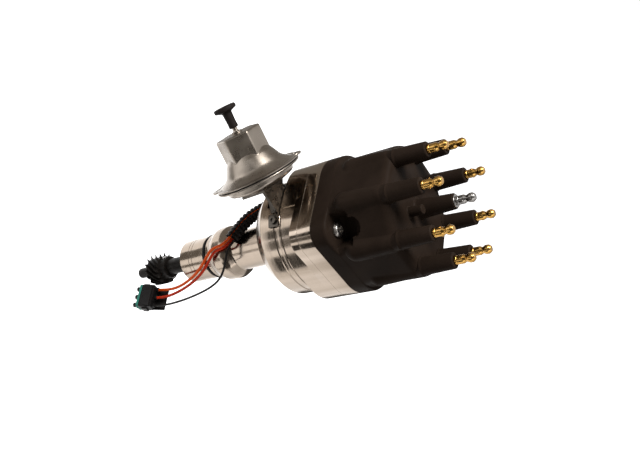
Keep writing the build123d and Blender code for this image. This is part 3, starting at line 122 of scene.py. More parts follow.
def mottle(material, socket, scale, low, high, stretch=(1, 1, 1)):
    """The middle of the noise, spread between two numbers or two colours, into a socket of the shader."""
    tree = material.node_tree
    cloud = object_noise(tree, scale, 4.0, stretch)
    target = tree.nodes["Principled BSDF"].inputs[socket]
    dark_end, light_end = 0.3, 0.7
    if isinstance(low, tuple):
        ramp = tree.nodes.new("ShaderNodeValToRGB")
        first, last = ramp.color_ramp.elements
        first.position, last.position = dark_end, light_end
        first.color, last.color = (*low, 1), (*high, 1)
        tree.links.new(cloud, ramp.inputs["Fac"])
        tree.links.new(ramp.outputs["Color"], target)
    else:
        span = tree.nodes.new("ShaderNodeMapRange")
        span.inputs["From Min"].default_value = dark_end
        span.inputs["From Max"].default_value = light_end
        span.inputs["To Min"].default_value = low
        span.inputs["To Max"].default_value = high
        tree.links.new(cloud, span.inputs["Value"])
        tree.links.new(span.outputs["Result"], target)


def grain(material, scale, distance, stretch=(1, 1, 1), strength=0.5):
    """Fine bump from noise: distance is its height in metres."""
    tree = material.node_tree
    bump = tree.nodes.new("ShaderNodeBump")
    bump.inputs["Distance"].default_value = distance
    bump.inputs["Strength"].default_value = strength
    tree.links.new(object_noise(tree, scale, 3.0, stretch), bump.inputs["Height"])
    tree.links.new(bump.outputs["Normal"], tree.nodes["Principled BSDF"].inputs["Normal"])


def skin(name, grid, around=True, along=False, material=None, sharp=32.0):
    """Mesh over a grid of points (rows, columns, 3) in millimetres, one face for each square of the grid.
    around joins the last column to the first, along the last row to the first; a row whose points all meet
    is a pole. Faces turn outwards when the rows run up and the columns run anticlockwise."""
    rows, columns = grid.shape[:2]
    index = np.arange(rows * columns).reshape(rows, columns)
    if around:
        index = np.hstack([index, index[:, :1]])
    if along:
        index = np.vstack([index, index[:1]])
    faces = np.stack([index[:-1, :-1], index[:-1, 1:], index[1:, 1:], index[1:, :-1]], axis=-1)
    mesh = bpy.data.meshes.new(name)
    mesh.from_pydata((grid.reshape(-1, 3) * mm).tolist(), [], faces.reshape(-1, 4).tolist())
    piece = bpy.data.objects.new(name, mesh)
    bpy.context.collection.objects.link(piece)
    return finish_mesh(piece, material, sharp)


def finish_mesh(piece, material=None, sharp=32.0):
    """Merge the poles, drop empty faces, shade smooth with edges sharp past an angle, set the material."""
    work = bmesh.new()
    work.from_mesh(piece.data)
    bmesh.ops.remove_doubles(work, verts=work.verts, dist=1e-6)
    bmesh.ops.dissolve_degenerate(work, dist=1e-7, edges=work.edges)
    work.to_mesh(piece.data)
    work.free()
    flags = np.ones(len(piece.data.polygons), dtype=bool)
    piece.data.polygons.foreach_set("use_smooth", flags)
    piece.data.set_sharp_from_angle(angle=math.radians(sharp))
    if material is not None:
        piece.data.materials.append(material)
    return piece


loom_route = [
    (25.6, -9.1, 70.2), (25.6, -9.1, 60.6), (24.3, -5.6, 50.6), (21.9, 1.9, 41.3), (15.3, 13.9, 33.4),
]
orange_route = [
    (16.8, 13.8, 32.3), (14.2, 19.3, 28.7), (14.3, 21.5, 19.0), (9.9, 23.3, 12.8), (1.6, 25.4, 2.0),
    (-4.2, 26.4, -10.5), (-8.8, 25.9, -27.0), (-9.9, 22.9, -43.4), (-7.4, 24.7, -50.8),
]
red_route = [
    (14.4, 12.9, 32.5), (11.9, 18.4, 29.0), (11.6, 20.9, 19.6), (7.5, 22.7, 14.3), (-1.1, 24.4, 3.0),
    (-7.1, 26.2, -9.7), (-11.6, 27.7, -26.0), (-13.8, 28.4, -43.4), (-11.3, 30.2, -50.8),
]
black_route = [
    (13.6, 14.2, 35.2), (11.0, 19.7, 31.6), (6.1, 23.7, 29.8), (-0.9, 27.5, 26.8), (-7.5, 30.4, 20.6),
    (-11.9, 32.0, 9.4), (-15.3, 33.0, -8.5), (-17.4, 33.4, -27.0), (-17.7, 33.8, -43.4),
    (-15.2, 35.6, -50.8),
]


def joined(name, pieces):
    """One object from several meshes that are already in place."""
    with bpy.context.temp_override(
        active_object=pieces[0], selected_editable_objects=pieces, selected_objects=pieces
    ):
        bpy.ops.object.join()
    pieces[0].name = name
    return pieces[0]


def steady_frame(path, pitch, samples):
    """Even points along a path, so many to a pitch, with their distance along it and two directions across
    it that never twist: each side is the one before it less its part along the path."""
    steps = np.linalg.norm(np.diff(path, axis=0), axis=1)
    run = np.concatenate([[0], np.cumsum(steps)])
    count = int(run[-1] / pitch * samples)
    s = np.linspace(0, run[-1], count)
    centre = np.stack([np.interp(s, run, path[:, i]) for i in range(3)], axis=1)
    along = np.gradient(centre, axis=0)
    along /= np.linalg.norm(along, axis=1)[:, None]
    side = np.empty_like(along)
    side[0] = np.cross(along[0], (0.3, 0.9, 0.2))
    for k in range(1, count):
        side[k] = side[k - 1] - along[k] * (side[k - 1] @ along[k])
        side[k] /= np.linalg.norm(side[k])
    side[0] = side[1]
    return s, centre, side, np.cross(along, side)


def loom_skin():
    """Convoluted tube: radius 5.0 less 0.75 times a bell curve at each groove along the route, with a wall
    and a narrow slit on the viewer's side, in which two tubes of the wires' size show."""
    crest, groove_depth, groove_width, wall = 5.0, 0.75, 0.55, 0.55
    pitch, samples, columns = 3.2, 22, 56
    half_slit, slit_turn = math.radians(7), math.radians(26)
    wire_radius, wire_depth, wire_columns, wire_turns = 1.1, 2.4, 16, (0.1, -0.7)
    s, centre, side, up = steady_frame(line_points("loom_probe", loom_route) / mm, pitch, samples)

    def circles(hub, radius, angle):
        """A circle, or part of one, round each point of the route."""
        across = np.cos(angle)[None, :, None] * side[:, None]
        return hub[:, None] + radius[..., None] * (across + np.sin(angle)[None, :, None] * up[:, None])

    middle = len(s) // 2
    to_camera = np.array(station) / mm - centre[middle]
    start = math.atan2(to_camera @ up[middle], to_camera @ side[middle]) + slit_turn
    angle = np.linspace(start + half_slit, start + 2 * np.pi - half_slit, columns)
    angle = np.concatenate([angle, angle[::-1]])
    inset = np.concatenate([np.zeros(columns), np.full(columns, wall)])
    groove = np.exp(-((s % pitch - pitch / 2) / groove_width) ** 2)
    radius = (crest - groove_depth * groove)[:, None] - inset[None, :]
    ring_angle = np.linspace(0, 2 * np.pi, wire_columns, endpoint=False)
    inner = []
    for turn in wire_turns:
        hub = centre + wire_depth * (math.cos(start + turn) * side + math.sin(start + turn) * up)
        inner.append(circles(hub, np.full((1, 1), wire_radius), ring_angle))
    return circles(centre, radius, angle), inner


loom_black = shader("loom_black", (0.008, 0.006, 0.005), 0.42, Specular_IOR_Level=0.14)
mottle(loom_black, "Roughness", 900, 0.34, 0.55)
orange_skin = shader("orange_insulation", (0.70, 0.085, 0.008), 0.42, Specular_IOR_Level=0.08)
mottle(orange_skin, "Base Color", 260, (0.62, 0.070, 0.006), (0.78, 0.105, 0.012))
red_skin = shader("red_insulation", (0.50, 0.030, 0.008), 0.42, Specular_IOR_Level=0.08)
mottle(red_skin, "Base Color", 260, (0.43, 0.022, 0.006), (0.57, 0.040, 0.010))
black_skin = shader("black_insulation", (0.010, 0.008, 0.007), 0.34, Specular_IOR_Level=0.15)
mottle(black_skin, "Roughness", 500, 0.28, 0.45)
loom_grid, loom_inner = loom_skin()
loom_tube = joined("loom_tube", [
    skin("loom_shell", loom_grid, material=loom_black, sharp=50),
    skin("loom_orange", loom_inner[0], material=orange_skin),
    skin("loom_red", loom_inner[1], material=red_skin),
])
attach(loom_tube, "housing")
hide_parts("loom")
for wire, route, radius, coat, slot_name in (
    ("orange", orange_route, 1.1, orange_skin, "orange_insulation"),
    ("red", red_route, 1.1, red_skin, "red_insulation"),
    ("black", black_route, 0.85, black_skin, "rubber"),
):
    piece = cord_line(f"{wire}_wire", route, radius)
    piece.data.materials.append(coat)
    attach(piece, "housing")
    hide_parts(f"wire_{wire}")


# Connector. A moulded nylon plug with a green silicone seal and three sealed posts on its mating face, a
# thin skirt along its far side and a latch nose at one end. The wires enter its rear face, which holds them.
plug_seat = np.array([-8.0, 32.54, -60.5])
plug_long = np.array([-0.583, 0.812, 0.0])
plug_long /= np.linalg.norm(plug_long)
plug_mate = np.array([0.313, 0.225, -0.923])
plug_mate -= plug_long * (plug_long @ plug_mate)
plug_mate /= np.linalg.norm(plug_mate)
plug_face = np.cross(plug_mate, plug_long)


def at_plug(grid):
    """Points (along the plug, across it, along its mating axis) taken to their place."""
    return plug_seat + grid[..., :1] * plug_long + grid[..., 1:2] * plug_face + grid[..., 2:] * plug_mate


def rounded_box(half_x, half_y, levels, corner):
    """Rings of a rectangle whose corners are arcs, one for each (height, inset), with a pole at both ends.
    An inset takes its own size off each half side and 0.4 of it off the corner."""
    count, least_corner = 48, 0.05
    angle = np.linspace(0, 2 * np.pi, count, endpoint=False) + np.pi / count
    rings = []
    for height, inset in levels:
        x, y, c = half_x - inset, half_y - inset, max(corner - inset * 0.4, least_corner)
        core_x, core_y = x - c, y - c
        ring_x = np.sign(np.cos(angle)) * core_x + c * np.cos(angle)
        ring_y = np.sign(np.sin(angle)) * core_y + c * np.sin(angle)
        rings.append(np.stack([ring_x, ring_y, np.full(count, height)], axis=1))
    first = np.tile([0.0, 0.0, levels[0][0]], (count, 1))
    last = np.tile([0.0, 0.0, levels[-1][0]], (count, 1))
    return np.stack([first] + rings + [last])


def moulded(name, box, material, along=0.0, across=0.0):
    """Piece of the connector, moved along the plug and across it, in millimetres."""
    box[..., :2] += along, across
    return skin(name, at_plug(box), material=material, sharp=40)


plug_black = shader("plug_black", (0.009, 0.008, 0.008), 0.36, Specular_IOR_Level=0.18)
mottle(plug_black, "Roughness", 600, 0.28, 0.46)
grain(plug_black, 1800, 0.00003, strength=0.4)
post_places = (-6.7, 0.0, 6.7)
block = rounded_box(9.7, 5.2, [
    (-10.5, 1.2), (-10.3, 0.7), (-9.4, 0.45), (-6.2, 0.3), (-5.8, 0.0),
    (-1.6, 0.0), (-1.3, 0.35), (-0.5, 0.35), (-0.2, 0.5), (0.0, 0.8),
], 1.4)
rib = rounded_box(8.6, 0.9, [(-9.6, 0.5), (-9.4, 0.1), (-2.4, 0.1), (-2.0, 0.6)], 0.4)
skirt = rounded_box(8.5, 0.75, [(-19.0, 0.4), (-18.6, 0.0), (-0.4, 0.0), (0.0, 0.3)], 0.4)
nose = rounded_box(1.1, 3.0, [(-7.2, 0.6), (-6.9, 0.1), (-3.2, 0.1), (-2.4, 0.7)], 0.5)
plug_pieces = [
    moulded("plug_block", block, plug_black),
    moulded("plug_rib", rib, plug_black, across=5.2),
    moulded("plug_skirt", skirt, plug_black, across=-4.45),
    moulded("plug_nose", nose, plug_black, along=9.9),
]
for offset in post_places:
    sleeve = rounded_box(1.75, 1.75, [(-12.6, 0.3), (-12.3, 0.0), (-10.2, 0.0), (-10.0, 0.2)], 1.75)
    plug_pieces.append(moulded("plug_sleeve", sleeve, plug_black, along=offset))
    stud = rounded_box(1.95, 1.95, [(-0.5, 0.0), (4.9, 0.0), (5.5, 0.15), (5.9, 0.7)], 1.95)
    plug_pieces.append(moulded("plug_stud", stud, plug_black, along=offset))
plug_body = joined("plug_shell", plug_pieces)
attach(plug_body, "housing")
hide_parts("plug_body")

seal_green = shader("seal_green", (0.018, 0.21, 0.155), 0.5)
mottle(seal_green, "Base Color", 500, (0.014, 0.18, 0.13), (0.024, 0.25, 0.185))
seal = rounded_box(9.3, 4.8, [
    (0.0, 0.5), (0.05, 0.1), (0.5, 0.0), (0.8, 0.35), (1.1, 0.35), (1.4, 0.0), (1.75, 0.1), (1.9, 0.5),
], 1.6)
seal_pieces = [moulded("seal_plate", seal, seal_green)]
for offset in post_places:
    lip = rounded_box(2.75, 2.75, [(1.6, 0.1), (2.2, 0.0), (2.5, 0.25), (2.6, 0.7)], 2.75)
    seal_pieces.append(moulded("seal_lip", lip, seal_green, along=offset))
plug_seal = joined("green_seal", seal_pieces)
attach(plug_seal, "housing")
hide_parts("plug_seal")


# Housing. One piece of turned and polished aluminium: pilot with two fine lines, hold-down collar, shank and
# bowl. The bowl's rim is notched where the bracket and the vacuum link go in. It seats in the engine block.
def round_corners(points, steps=5):
    """Profile of (radius, height, corner radius) points: each corner becomes the arc that touches both runs
    and takes at most 0.49 of the shorter one. Corners that hardly turn, or that fold back, stay."""
    straight, folded, most = 1.56, 0.02, 0.49
    points = [np.array(p, float) for p in points]
    out = [points[0][:2]]
    for before, here, after in zip(points, points[1:], points[2:]):
        if here[2] <= 0:
            out.append(here[:2])
            continue
        back, front = before[:2] - here[:2], after[:2] - here[:2]
        back_length, front_length = np.linalg.norm(back), np.linalg.norm(front)
        back, front = back / back_length, front / front_length
        half = math.acos(np.clip(back @ front, -1, 1)) / 2
        if half > straight or half < folded:
            out.append(here[:2])
            continue
        reach = min(here[2] / math.tan(half), most * back_length, most * front_length)
        radius = reach * math.tan(half)
        centre = here[:2] + (back + front) / np.linalg.norm(back + front) * radius / math.sin(half)
        start, end = here[:2] + back * reach - centre, here[:2] + front * reach - centre
        turn = math.atan2(start[0] * end[1] - start[1] * end[0], start @ end)
        count = max(2, int(steps * max(1.0, abs(turn) * 1.5)))
        for k in range(count + 1):
            a = turn * k / count
            spin = np.array([[math.cos(a), -math.sin(a)], [math.sin(a), math.cos(a)]])
            out.append(centre + spin @ start)
    out.append(points[-1][:2])
    return np.array(out)


def lathe(name, points, material, turns=160, frame_of=None):
    """Profile turned about Z, or about another axis given as (origin, x axis, y axis, z axis)."""
    profile = round_corners(points)
    radius, height = profile[:, :1], profile[:, 1:]
    angle = np.linspace(0, 2 * np.pi, turns, endpoint=False)
    levels = np.repeat(height, turns, axis=1)
    grid = np.stack([radius * np.cos(angle), radius * np.sin(angle), levels], axis=-1)
    if frame_of is not None:
        origin, x_axis, y_axis, z_axis = (np.array(v, float) for v in frame_of)
        grid = origin + grid[..., :1] * x_axis + grid[..., 1:2] * y_axis + grid[..., 2:] * z_axis
    return skin(name, grid, material=material)


def turned_metal(name, colour, rough_low, rough_high, pitch, depth):
    """Polished metal with the fine rings of a lathe tool: noise squeezed along Z, as bump and roughness."""
    material = shader(name, colour, rough_low, 1.0)
    mottle(material, "Roughness", 90, rough_low, rough_high, stretch=(0.4, 0.4, 6))
    grain(material, pitch, depth, stretch=(0.01, 0.01, 1), strength=0.6)
    return material


aluminium = turned_metal("polished_aluminium", (0.40, 0.325, 0.26), 0.13, 0.23, 2600, 0.000006)
# Painted reflection: light and dark streaks in the base colour run along the axis and change round it.
mottle(aluminium, "Base Color", 110, (0.29, 0.235, 0.185), (0.41, 0.34, 0.28), stretch=(1, 1, 0.02))
housing_skin = lathe("turned_housing", [
    (9.0, -24.5, 0), (15.7, -24.5, 0.2), (16.5, -23.7, 0.2), (16.5, -14.9, 0.06), (16.28, -14.7, 0.05),
    (16.5, -14.5, 0.06), (16.5, -11.8, 0.06), (16.28, -11.6, 0.05), (16.5, -11.4, 0.06),
    (16.5, 0.0, 0.25), (14.6, 0.0, 0.2), (14.6, 3.6, 0.2), (17.0, 3.6, 0.35),
    (17.0, 6.2, 5.0), (20.4, 13.0, 5.0), (20.4, 21.3, 6.0), (18.6, 24.6, 3.0), (15.0, 28.0, 1.5),
    (15.0, 67.6, 4.5), (33.4, 67.9, 0.8), (40.3, 77.0, 0.8), (40.3, 88.3, 0.15), (39.7, 88.9, 0.15),
    (39.7, 91.2, 0.15), (40.3, 91.8, 0.2), (40.3, 93.6, 0.2), (40.0, 93.9, 0), (36.6, 93.9, 0),
    (36.6, 72.5, 1.0), (12.0, 72.5, 0.6), (12.0, 77.0, 0.3), (9.0, 77.0, 0), (9.0, -24.5, 0),
], aluminium, turns=256)


def cut_box(piece, low, high):
    """Take a box, given by two corners in millimetres, out of a closed piece."""
    ends_x, ends_y, ends_z = zip(low, high)
    corners = [(x * mm, y * mm, z * mm) for x in ends_x for y in ends_y for z in ends_z]
    faces = [(0, 1, 3, 2), (4, 6, 7, 5), (0, 4, 5, 1), (2, 3, 7, 6), (0, 2, 6, 4), (1, 5, 7, 3)]
    mesh = bpy.data.meshes.new("cutter")
    mesh.from_pydata(corners, [], faces)
    cutter = bpy.data.objects.new("cutter", mesh)
    bpy.context.collection.objects.link(cutter)
    cut = piece.modifiers.new("cut", "BOOLEAN")
    cut.operation, cut.solver, cut.object = "DIFFERENCE", "EXACT", cutter
    bpy.context.view_layer.update()
    evaluated = piece.evaluated_get(bpy.context.evaluated_depsgraph_get())
    whole = bpy.data.meshes.new_from_object(evaluated)
    piece.modifiers.clear()
    piece.data = whole
    bpy.data.objects.remove(cutter)
    bpy.data.meshes.remove(mesh)


cut_box(housing_skin, (18.0, 11.4, 91.9), (60.0, 28.6, 100.0))
cut_box(housing_skin, (18.0, 17.0, 82.5), (60.0, 23.0, 100.0))
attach(housing_skin, "housing")
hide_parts("housing")


# Sealing ring. A black rubber O-ring that grips the groove between the pilot and the hold-down collar and
# keeps the oil in the block.
rubber = shader("black_rubber", (0.012, 0.010, 0.009), 0.55, Specular_IOR_Level=0.15)
mottle(rubber, "Roughness", 700, 0.45, 0.65)


def ring_of(name, major, minor, height, material):
    """Torus: a small circle carried round a large one."""
    turns = 128
    u = np.linspace(0, 2 * np.pi, turns, endpoint=False)
    v = np.linspace(-np.pi, np.pi, 24, endpoint=False)
    radius = major + minor * np.cos(v)[:, None]
    rise = height + minor * np.sin(v)[:, None]
    grid = np.stack([radius * np.cos(u), radius * np.sin(u), np.repeat(rise, turns, 1)], -1)
    return skin(name, grid, along=True, material=material)


seal_ring = ring_of("seal_ring", 15.9, 1.3, 1.8, rubber)
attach(seal_ring, "housing")
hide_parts("block_o_ring")


# Gear and shaft. A blackened steel helical gear whose hub is pinned to the drive shaft. The shaft turns in
# two bushings of the housing and runs on below the gear as a plain rounded stub.
black_steel = shader("blackened_steel", (0.010, 0.008, 0.007), 0.45, 0.15, Specular_IOR_Level=0.08)
mottle(black_steel, "Roughness", 350, 0.34, 0.52)
mottle(black_steel, "Base Color", 240, (0.007, 0.006, 0.005), (0.016, 0.013, 0.011))


def helical_gear(name, material):
    """Tooth outline of radius against angle, turned steadily with height by the tangent of the helix over
    the mean radius. Both ends are closed to the axis, and the teeth's ends are chamfered."""
    teeth, root, tip, low, face = 14, 9.9, 12.6, -68.4, 12.7
    helix, edge, chamfer, slices = math.radians(45), 0.35, -0.55, 18
    pitch = 2 * np.pi / teeth
    share = np.array([0.0, 0.17, 0.24, 0.33, 0.40, 0.445, 0.475, 0.525, 0.555, 0.60, 0.67, 0.76, 0.83])
    reach = np.array([0.0, 0.0, 0.12, 0.48, 0.82, 0.97, 1.0, 1.0, 0.97, 0.82, 0.48, 0.12, 0.0])
    angle = (np.arange(teeth)[:, None] + share[None, :]).ravel() * pitch
    radius = np.tile(root + (tip - root) * reach, teeth)
    twist = face * math.tan(helix) / ((root + tip) / 2)
    levels = [(0.0, 0.0), (0.0, chamfer), (edge, 0.0)]
    levels += [(edge + (face - 2 * edge) * k / slices, 0.0) for k in range(1, slices + 1)]
    levels += [(face, chamfer), (face, 0.0)]
    rings = []
    for number, (height, inset) in enumerate(levels):
        scale = 0.0 if number in (0, len(levels) - 1) else 1.0
        r = (radius + inset * np.tile(reach, teeth)) * scale
        a = angle + twist * height / face
        rings.append(np.stack([r * np.cos(a), r * np.sin(a), np.full(len(a), low + height)], axis=1))
    return skin(name, np.stack(rings), material=material, sharp=35)


gear_skin = helical_gear("gear_teeth", black_steel)
hub_skin = lathe("gear_hub", [
    (0, -56.2, 0), (9.4, -56.2, 0), (8.8, -55.0, 0.8), (8.8, -49.9, 0.5), (0, -49.9, 0),
], black_steel, turns=96)
gear_whole = joined("drive_gear_skin", [gear_skin, hub_skin])
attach(gear_whole, "drive_shaft")
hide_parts("drive_gear")
shaft_skin = lathe("shaft_skin", [
    (0, -86.0, 0), (4.2, -86.0, 2.4), (4.2, -68.0, 0), (6.35, -68.0, 0), (6.35, 98.1, 0.3), (4.0, 98.1, 0),
    (4.0, 103.9, 0.4), (0, 103.9, 0),
], black_steel, turns=96)
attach(shaft_skin, "drive_shaft")
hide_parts("drive_shaft")


# Top of the housing. One aluminium ring, turned and then milled to a rounded diamond, with an ear at each
# end for a cap screw. It stands on the bowl's rim and carries the cap.
ear_turn = math.radians(72.2)


def swing(angle, centre):
    """Angle from a centre, between minus and plus a half turn."""
    return (angle - centre + np.pi) % (2 * np.pi) - np.pi


def radius_of(outline, angle):
    """Distance from the axis to a convex outline, given as dense boundary points, at each angle."""
    azimuth = np.arctan2(outline[:, 1], outline[:, 0])
    order = np.argsort(azimuth)
    azimuth, reach = azimuth[order], np.hypot(*outline.T)[order]
    azimuth = np.concatenate([azimuth - 2 * np.pi, azimuth, azimuth + 2 * np.pi])
    return np.interp(swing(angle, 0.0), azimuth, np.tile(reach, 3))


def wrapped(circles):
    """Boundary of the hull of circles (x, y, radius), sampled by the direction of its normal; the straight
    runs between the samples are filled in."""
    normal = np.linspace(0, 2 * np.pi, 1440, endpoint=False)
    direction = np.stack([np.cos(normal), np.sin(normal)], axis=1)
    centres = np.array([c[:2] for c in circles], float)
    radii = np.array([c[2] for c in circles], float)
    best = np.argmax(centres @ direction.T + radii[:, None], axis=0)
    touch = centres[best] + radii[best][:, None] * direction
    following = np.roll(touch, -1, axis=0)
    share = np.linspace(0, 1, 24, endpoint=False)[None, :, None]
    return (touch[:, None] * (1 - share) + following[:, None] * share).reshape(-1, 2)


diamond = wrapped([(36.5, 0, 13), (-36.5, 0, 13), (0, 19, 28), (0, -19, 28)])
broad = wrapped([(0, 0, 40.3), (0, 19, 28), (0, -19, 28)])
around = np.linspace(0, 2 * np.pi, 540, endpoint=False)


def stacked(name, rings, material, sharp=28.0):
    """Rings of (height, radius against angle) joined upwards, turned so that the ears lie on their line."""
    across, over = np.cos(around + ear_turn), np.sin(around + ear_turn)
    grid = np.stack([np.stack([r * across, r * over, np.full(len(around), h)], axis=1) for h, r in rings])
    return skin(name, grid, material=material, sharp=sharp)


broad_r, diamond_r = radius_of(broad, around), radius_of(diamond, around)
plain = np.ones(len(around))
top_rings = [
    (93.9, 37.5 * plain), (93.9, 39.5 * plain), (94.0, 39.8 * plain), (94.3, np.minimum(broad_r, 39.8)),
    (94.4, broad_r - 0.4), (94.8, broad_r), (106.4, broad_r), (106.5, np.maximum(broad_r, diamond_r - 0.5)),
    (106.9, diamond_r), (112.6, diamond_r), (112.75, diamond_r - 0.14), (112.9, diamond_r),
    (123.0, diamond_r), (123.35, diamond_r - 0.12), (123.5, diamond_r - 0.45), (123.5, 37.5 * plain),
    (93.9, 37.5 * plain),
]
top_skin = stacked("eared_ring", top_rings, aluminium)
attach(top_skin, "housing")
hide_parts("housing_top")


# Cap. One moulding in matte brown-black plastic: a flange on the same diamond, a skirt with flats and eight
# ridges that run up into the plug towers, a panel and a screw pocket over each ear, and a rounded deck. Two
# screws hold it to the ring.
tower_circle, screw_circle = 38.0, 36.4
foot_z, flange_z, shoulder_z, deck_z = 123.5, 135.0, 171.5, 177.0
tower_steps = np.radians(22.5 + 45.0 * np.arange(8))
ears = (0.0, np.pi)


def soft_max(a, b, k):
    """The larger of two, rounded where they meet within k."""
    h = np.clip(0.5 + 0.5 * (a - b) / k, 0, 1)
    return b + (a - b) * h + k * h * (1 - h)


def soft_min(a, b, k):
    """The smaller of two, rounded in the same way."""
    return -soft_max(-a, -b, k)


def plane_reach(centre, distance):
    """Distance from the axis to a flat face, far away where the ray misses it."""
    slope = np.cos(swing(around, centre))
    return np.where(slope > 0.25, distance / np.maximum(slope, 0.25), 4 * distance)


def with_ridges(r, height):
    """Outline with the eight ridges added: each is a circle about its tower's axis that widens downwards and
    closes like an ellipse at its foot."""
    nose, foot, taper = 6.2 + 0.05 * (deck_z - height), 146.0, 8.0
    section = nose * math.sqrt(max(1 - (max(foot - height, 0.0) / taper) ** 2, 0.0))
    if section > 0:
        for tower in tower_steps:
            phi = swing(around, tower)
            off = np.abs(tower_circle * np.sin(phi))
            inside = np.sqrt(np.maximum(section ** 2 - off ** 2, 0))
            ridge = tower_circle * np.cos(phi) + inside - 3.0 * np.maximum(off - section, 0)
            r = np.where(np.abs(phi) < 0.5, soft_max(r, ridge, 1.1), r)
    return r


def with_pockets(r, height):
    """Outline with the two ear pockets taken out: a flat-backed room with steep side walls under the panel,
    and above it a round hollow for the screw head, closed by a dome."""
    half_room, wall_width, panel_foot, back_reach = math.radians(14.2), math.radians(1.3), 146.7, 28.6
    hollow, dome_top = 5.8, 154.6
    for ear in ears:
        phi = swing(around, ear)
        wall = np.clip((np.abs(phi) - half_room) / wall_width, 0, 1)
        wall = wall * wall * (3 - 2 * wall)
        roof = np.clip((height - panel_foot) / 0.8, 0, 1)
        back = back_reach / np.maximum(np.cos(phi), 0.5)
        depth = (1 - wall) * (1 - roof)
        r = np.where(np.abs(phi) < 0.6, r * (1 - depth) + np.minimum(back, r) * depth, r)
        above = max(height - (dome_top - hollow), 0.0)
        reach = math.sqrt(max(hollow ** 2 - above ** 2, 0.0))
        off = screw_circle * np.sin(phi)
        bore = screw_circle * np.cos(phi) - np.sqrt(np.maximum(reach ** 2 - off ** 2, 0))
        r = np.where((np.abs(off) < reach) & (np.abs(phi) < 0.5), np.minimum(r, bore), r)
    return r


def skirt_radius(height):
    """Round skirt cut by six flats, with the ridges added and the two ear pockets taken out."""
    r = 43.6 * plain
    for flat_turn in (41.1, 138.9, 221.1, 318.9):
        r = soft_min(r, plane_reach(math.radians(flat_turn), 40.3), 1.6)
    for ear in ears:
        r = soft_min(r, plane_reach(ear, 40.0), 1.0)
    return with_pockets(with_ridges(r, height), height)


def cavity_radius(height):
    """Inside of the cap: a round bore, narrowed behind the pockets and round the screw hollows."""
    pocket_top, hollow_top, half_room, back_reach, hollow = 149.3, 156.8, math.radians(18.5), 26.4, 8.0
    r = 36.0 * plain
    for ear in ears:
        phi = swing(around, ear)
        if foot_z < height < pocket_top:
            back = np.minimum(r, back_reach / np.maximum(np.cos(phi), 0.5))
            r = np.where(np.abs(phi) < half_room, back, r)
        if foot_z < height < hollow_top:
            off = screw_circle * np.sin(phi)
            bore = screw_circle * np.cos(phi) - np.sqrt(np.maximum(hollow ** 2 - off ** 2, 0))
            r = np.where((np.abs(off) < hollow) & (np.abs(phi) < 0.5), np.minimum(r, bore), r)
    return r


def cap_rings():
    """Rows from the crown of the cavity down its wall, round the rim, up the flange and skirt, and over the
    deck. The flange's edge, its root and the shoulder of the deck are quarter circles."""
    rows = [(shoulder_z, 0.0 * plain), (shoulder_z, 30.5 * plain)]
    rows += [(h, cavity_radius(h)) for h in (168.5, 160.0, 156.9, 156.7, 149.4, 149.2, 140.0, 123.6)]
    rows += [(123.4, 36.0 * plain), (121.5, 36.0 * plain), (121.5, 37.3 * plain), (foot_z, 37.3 * plain)]
    foot = skirt_radius(flange_z)
    gap = np.maximum(diamond_r - foot, 0.05)
    rim, fillet_out, fillet_in = 2.4, np.minimum(2.4, gap * 0.5), np.minimum(2.6, gap * 0.45)
    rows += [(foot_z, diamond_r - 0.25), (123.75, diamond_r), (128.0, diamond_r - 0.02)]
    rows += [(flange_z - rim, diamond_r - 0.05)]
    for k in range(1, 7):
        t = math.radians(15 * k)
        rows.append((flange_z - rim + rim * math.sin(t), diamond_r - 0.05 - fillet_out * (1 - math.cos(t))))
    rows += [(flange_z, (diamond_r + foot) / 2 + (fillet_in - fillet_out) * 0.5)]
    rise = 3.0
    for k in range(7):
        t = math.radians(15 * k)
        h = flange_z + rise * (1 - math.cos(t))
        rows.append((h, skirt_radius(h) + fillet_in * (1 - math.sin(t))))
    heights = list(np.arange(138.6, 146.5, 0.6)) + list(np.arange(146.6, 148.0, 0.16))
    heights += list(np.arange(148.4, 155.2, 0.45)) + list(np.arange(156.0, 171.2, 1.4))
    rows += [(h, skirt_radius(h)) for h in heights]
    shoulder = skirt_radius(shoulder_z)
    for k in range(9):
        t = math.radians(90 * k / 8)
        rows.append((shoulder_z + (deck_z - shoulder_z) * math.sin(t), shoulder - 5.0 * (1 - math.cos(t))))
    rows += [(deck_z, 30.0 * plain), (deck_z, 16.0 * plain), (deck_z, 0.0 * plain)]
    return rows


cap_plastic = shader("cap_plastic", (0.016, 0.0105, 0.0075), 0.46, Specular_IOR_Level=0.015)
mottle(cap_plastic, "Roughness", 160, 0.36, 0.48)
mottle(cap_plastic, "Base Color", 60, (0.013, 0.0085, 0.006), (0.019, 0.0125, 0.009))
grain(cap_plastic, 2200, 0.00003, strength=0.5)
cap_pieces = [stacked("cap_shell", cap_rings(), cap_plastic, sharp=38)]
upright = ((0, 0, 0), (1, 0, 0), (0, 1, 0), (0, 0, 1))


def on_tower(number):
    """Place of one tower: its own origin and axes, with X away from the shaft."""
    turn = ear_turn + tower_steps[number]
    out = (math.cos(turn), math.sin(turn), 0.0)
    foot = (tower_circle * out[0], tower_circle * out[1], 0.0)
    return (foot, out, (-out[1], out[0], 0.0), upright[3])


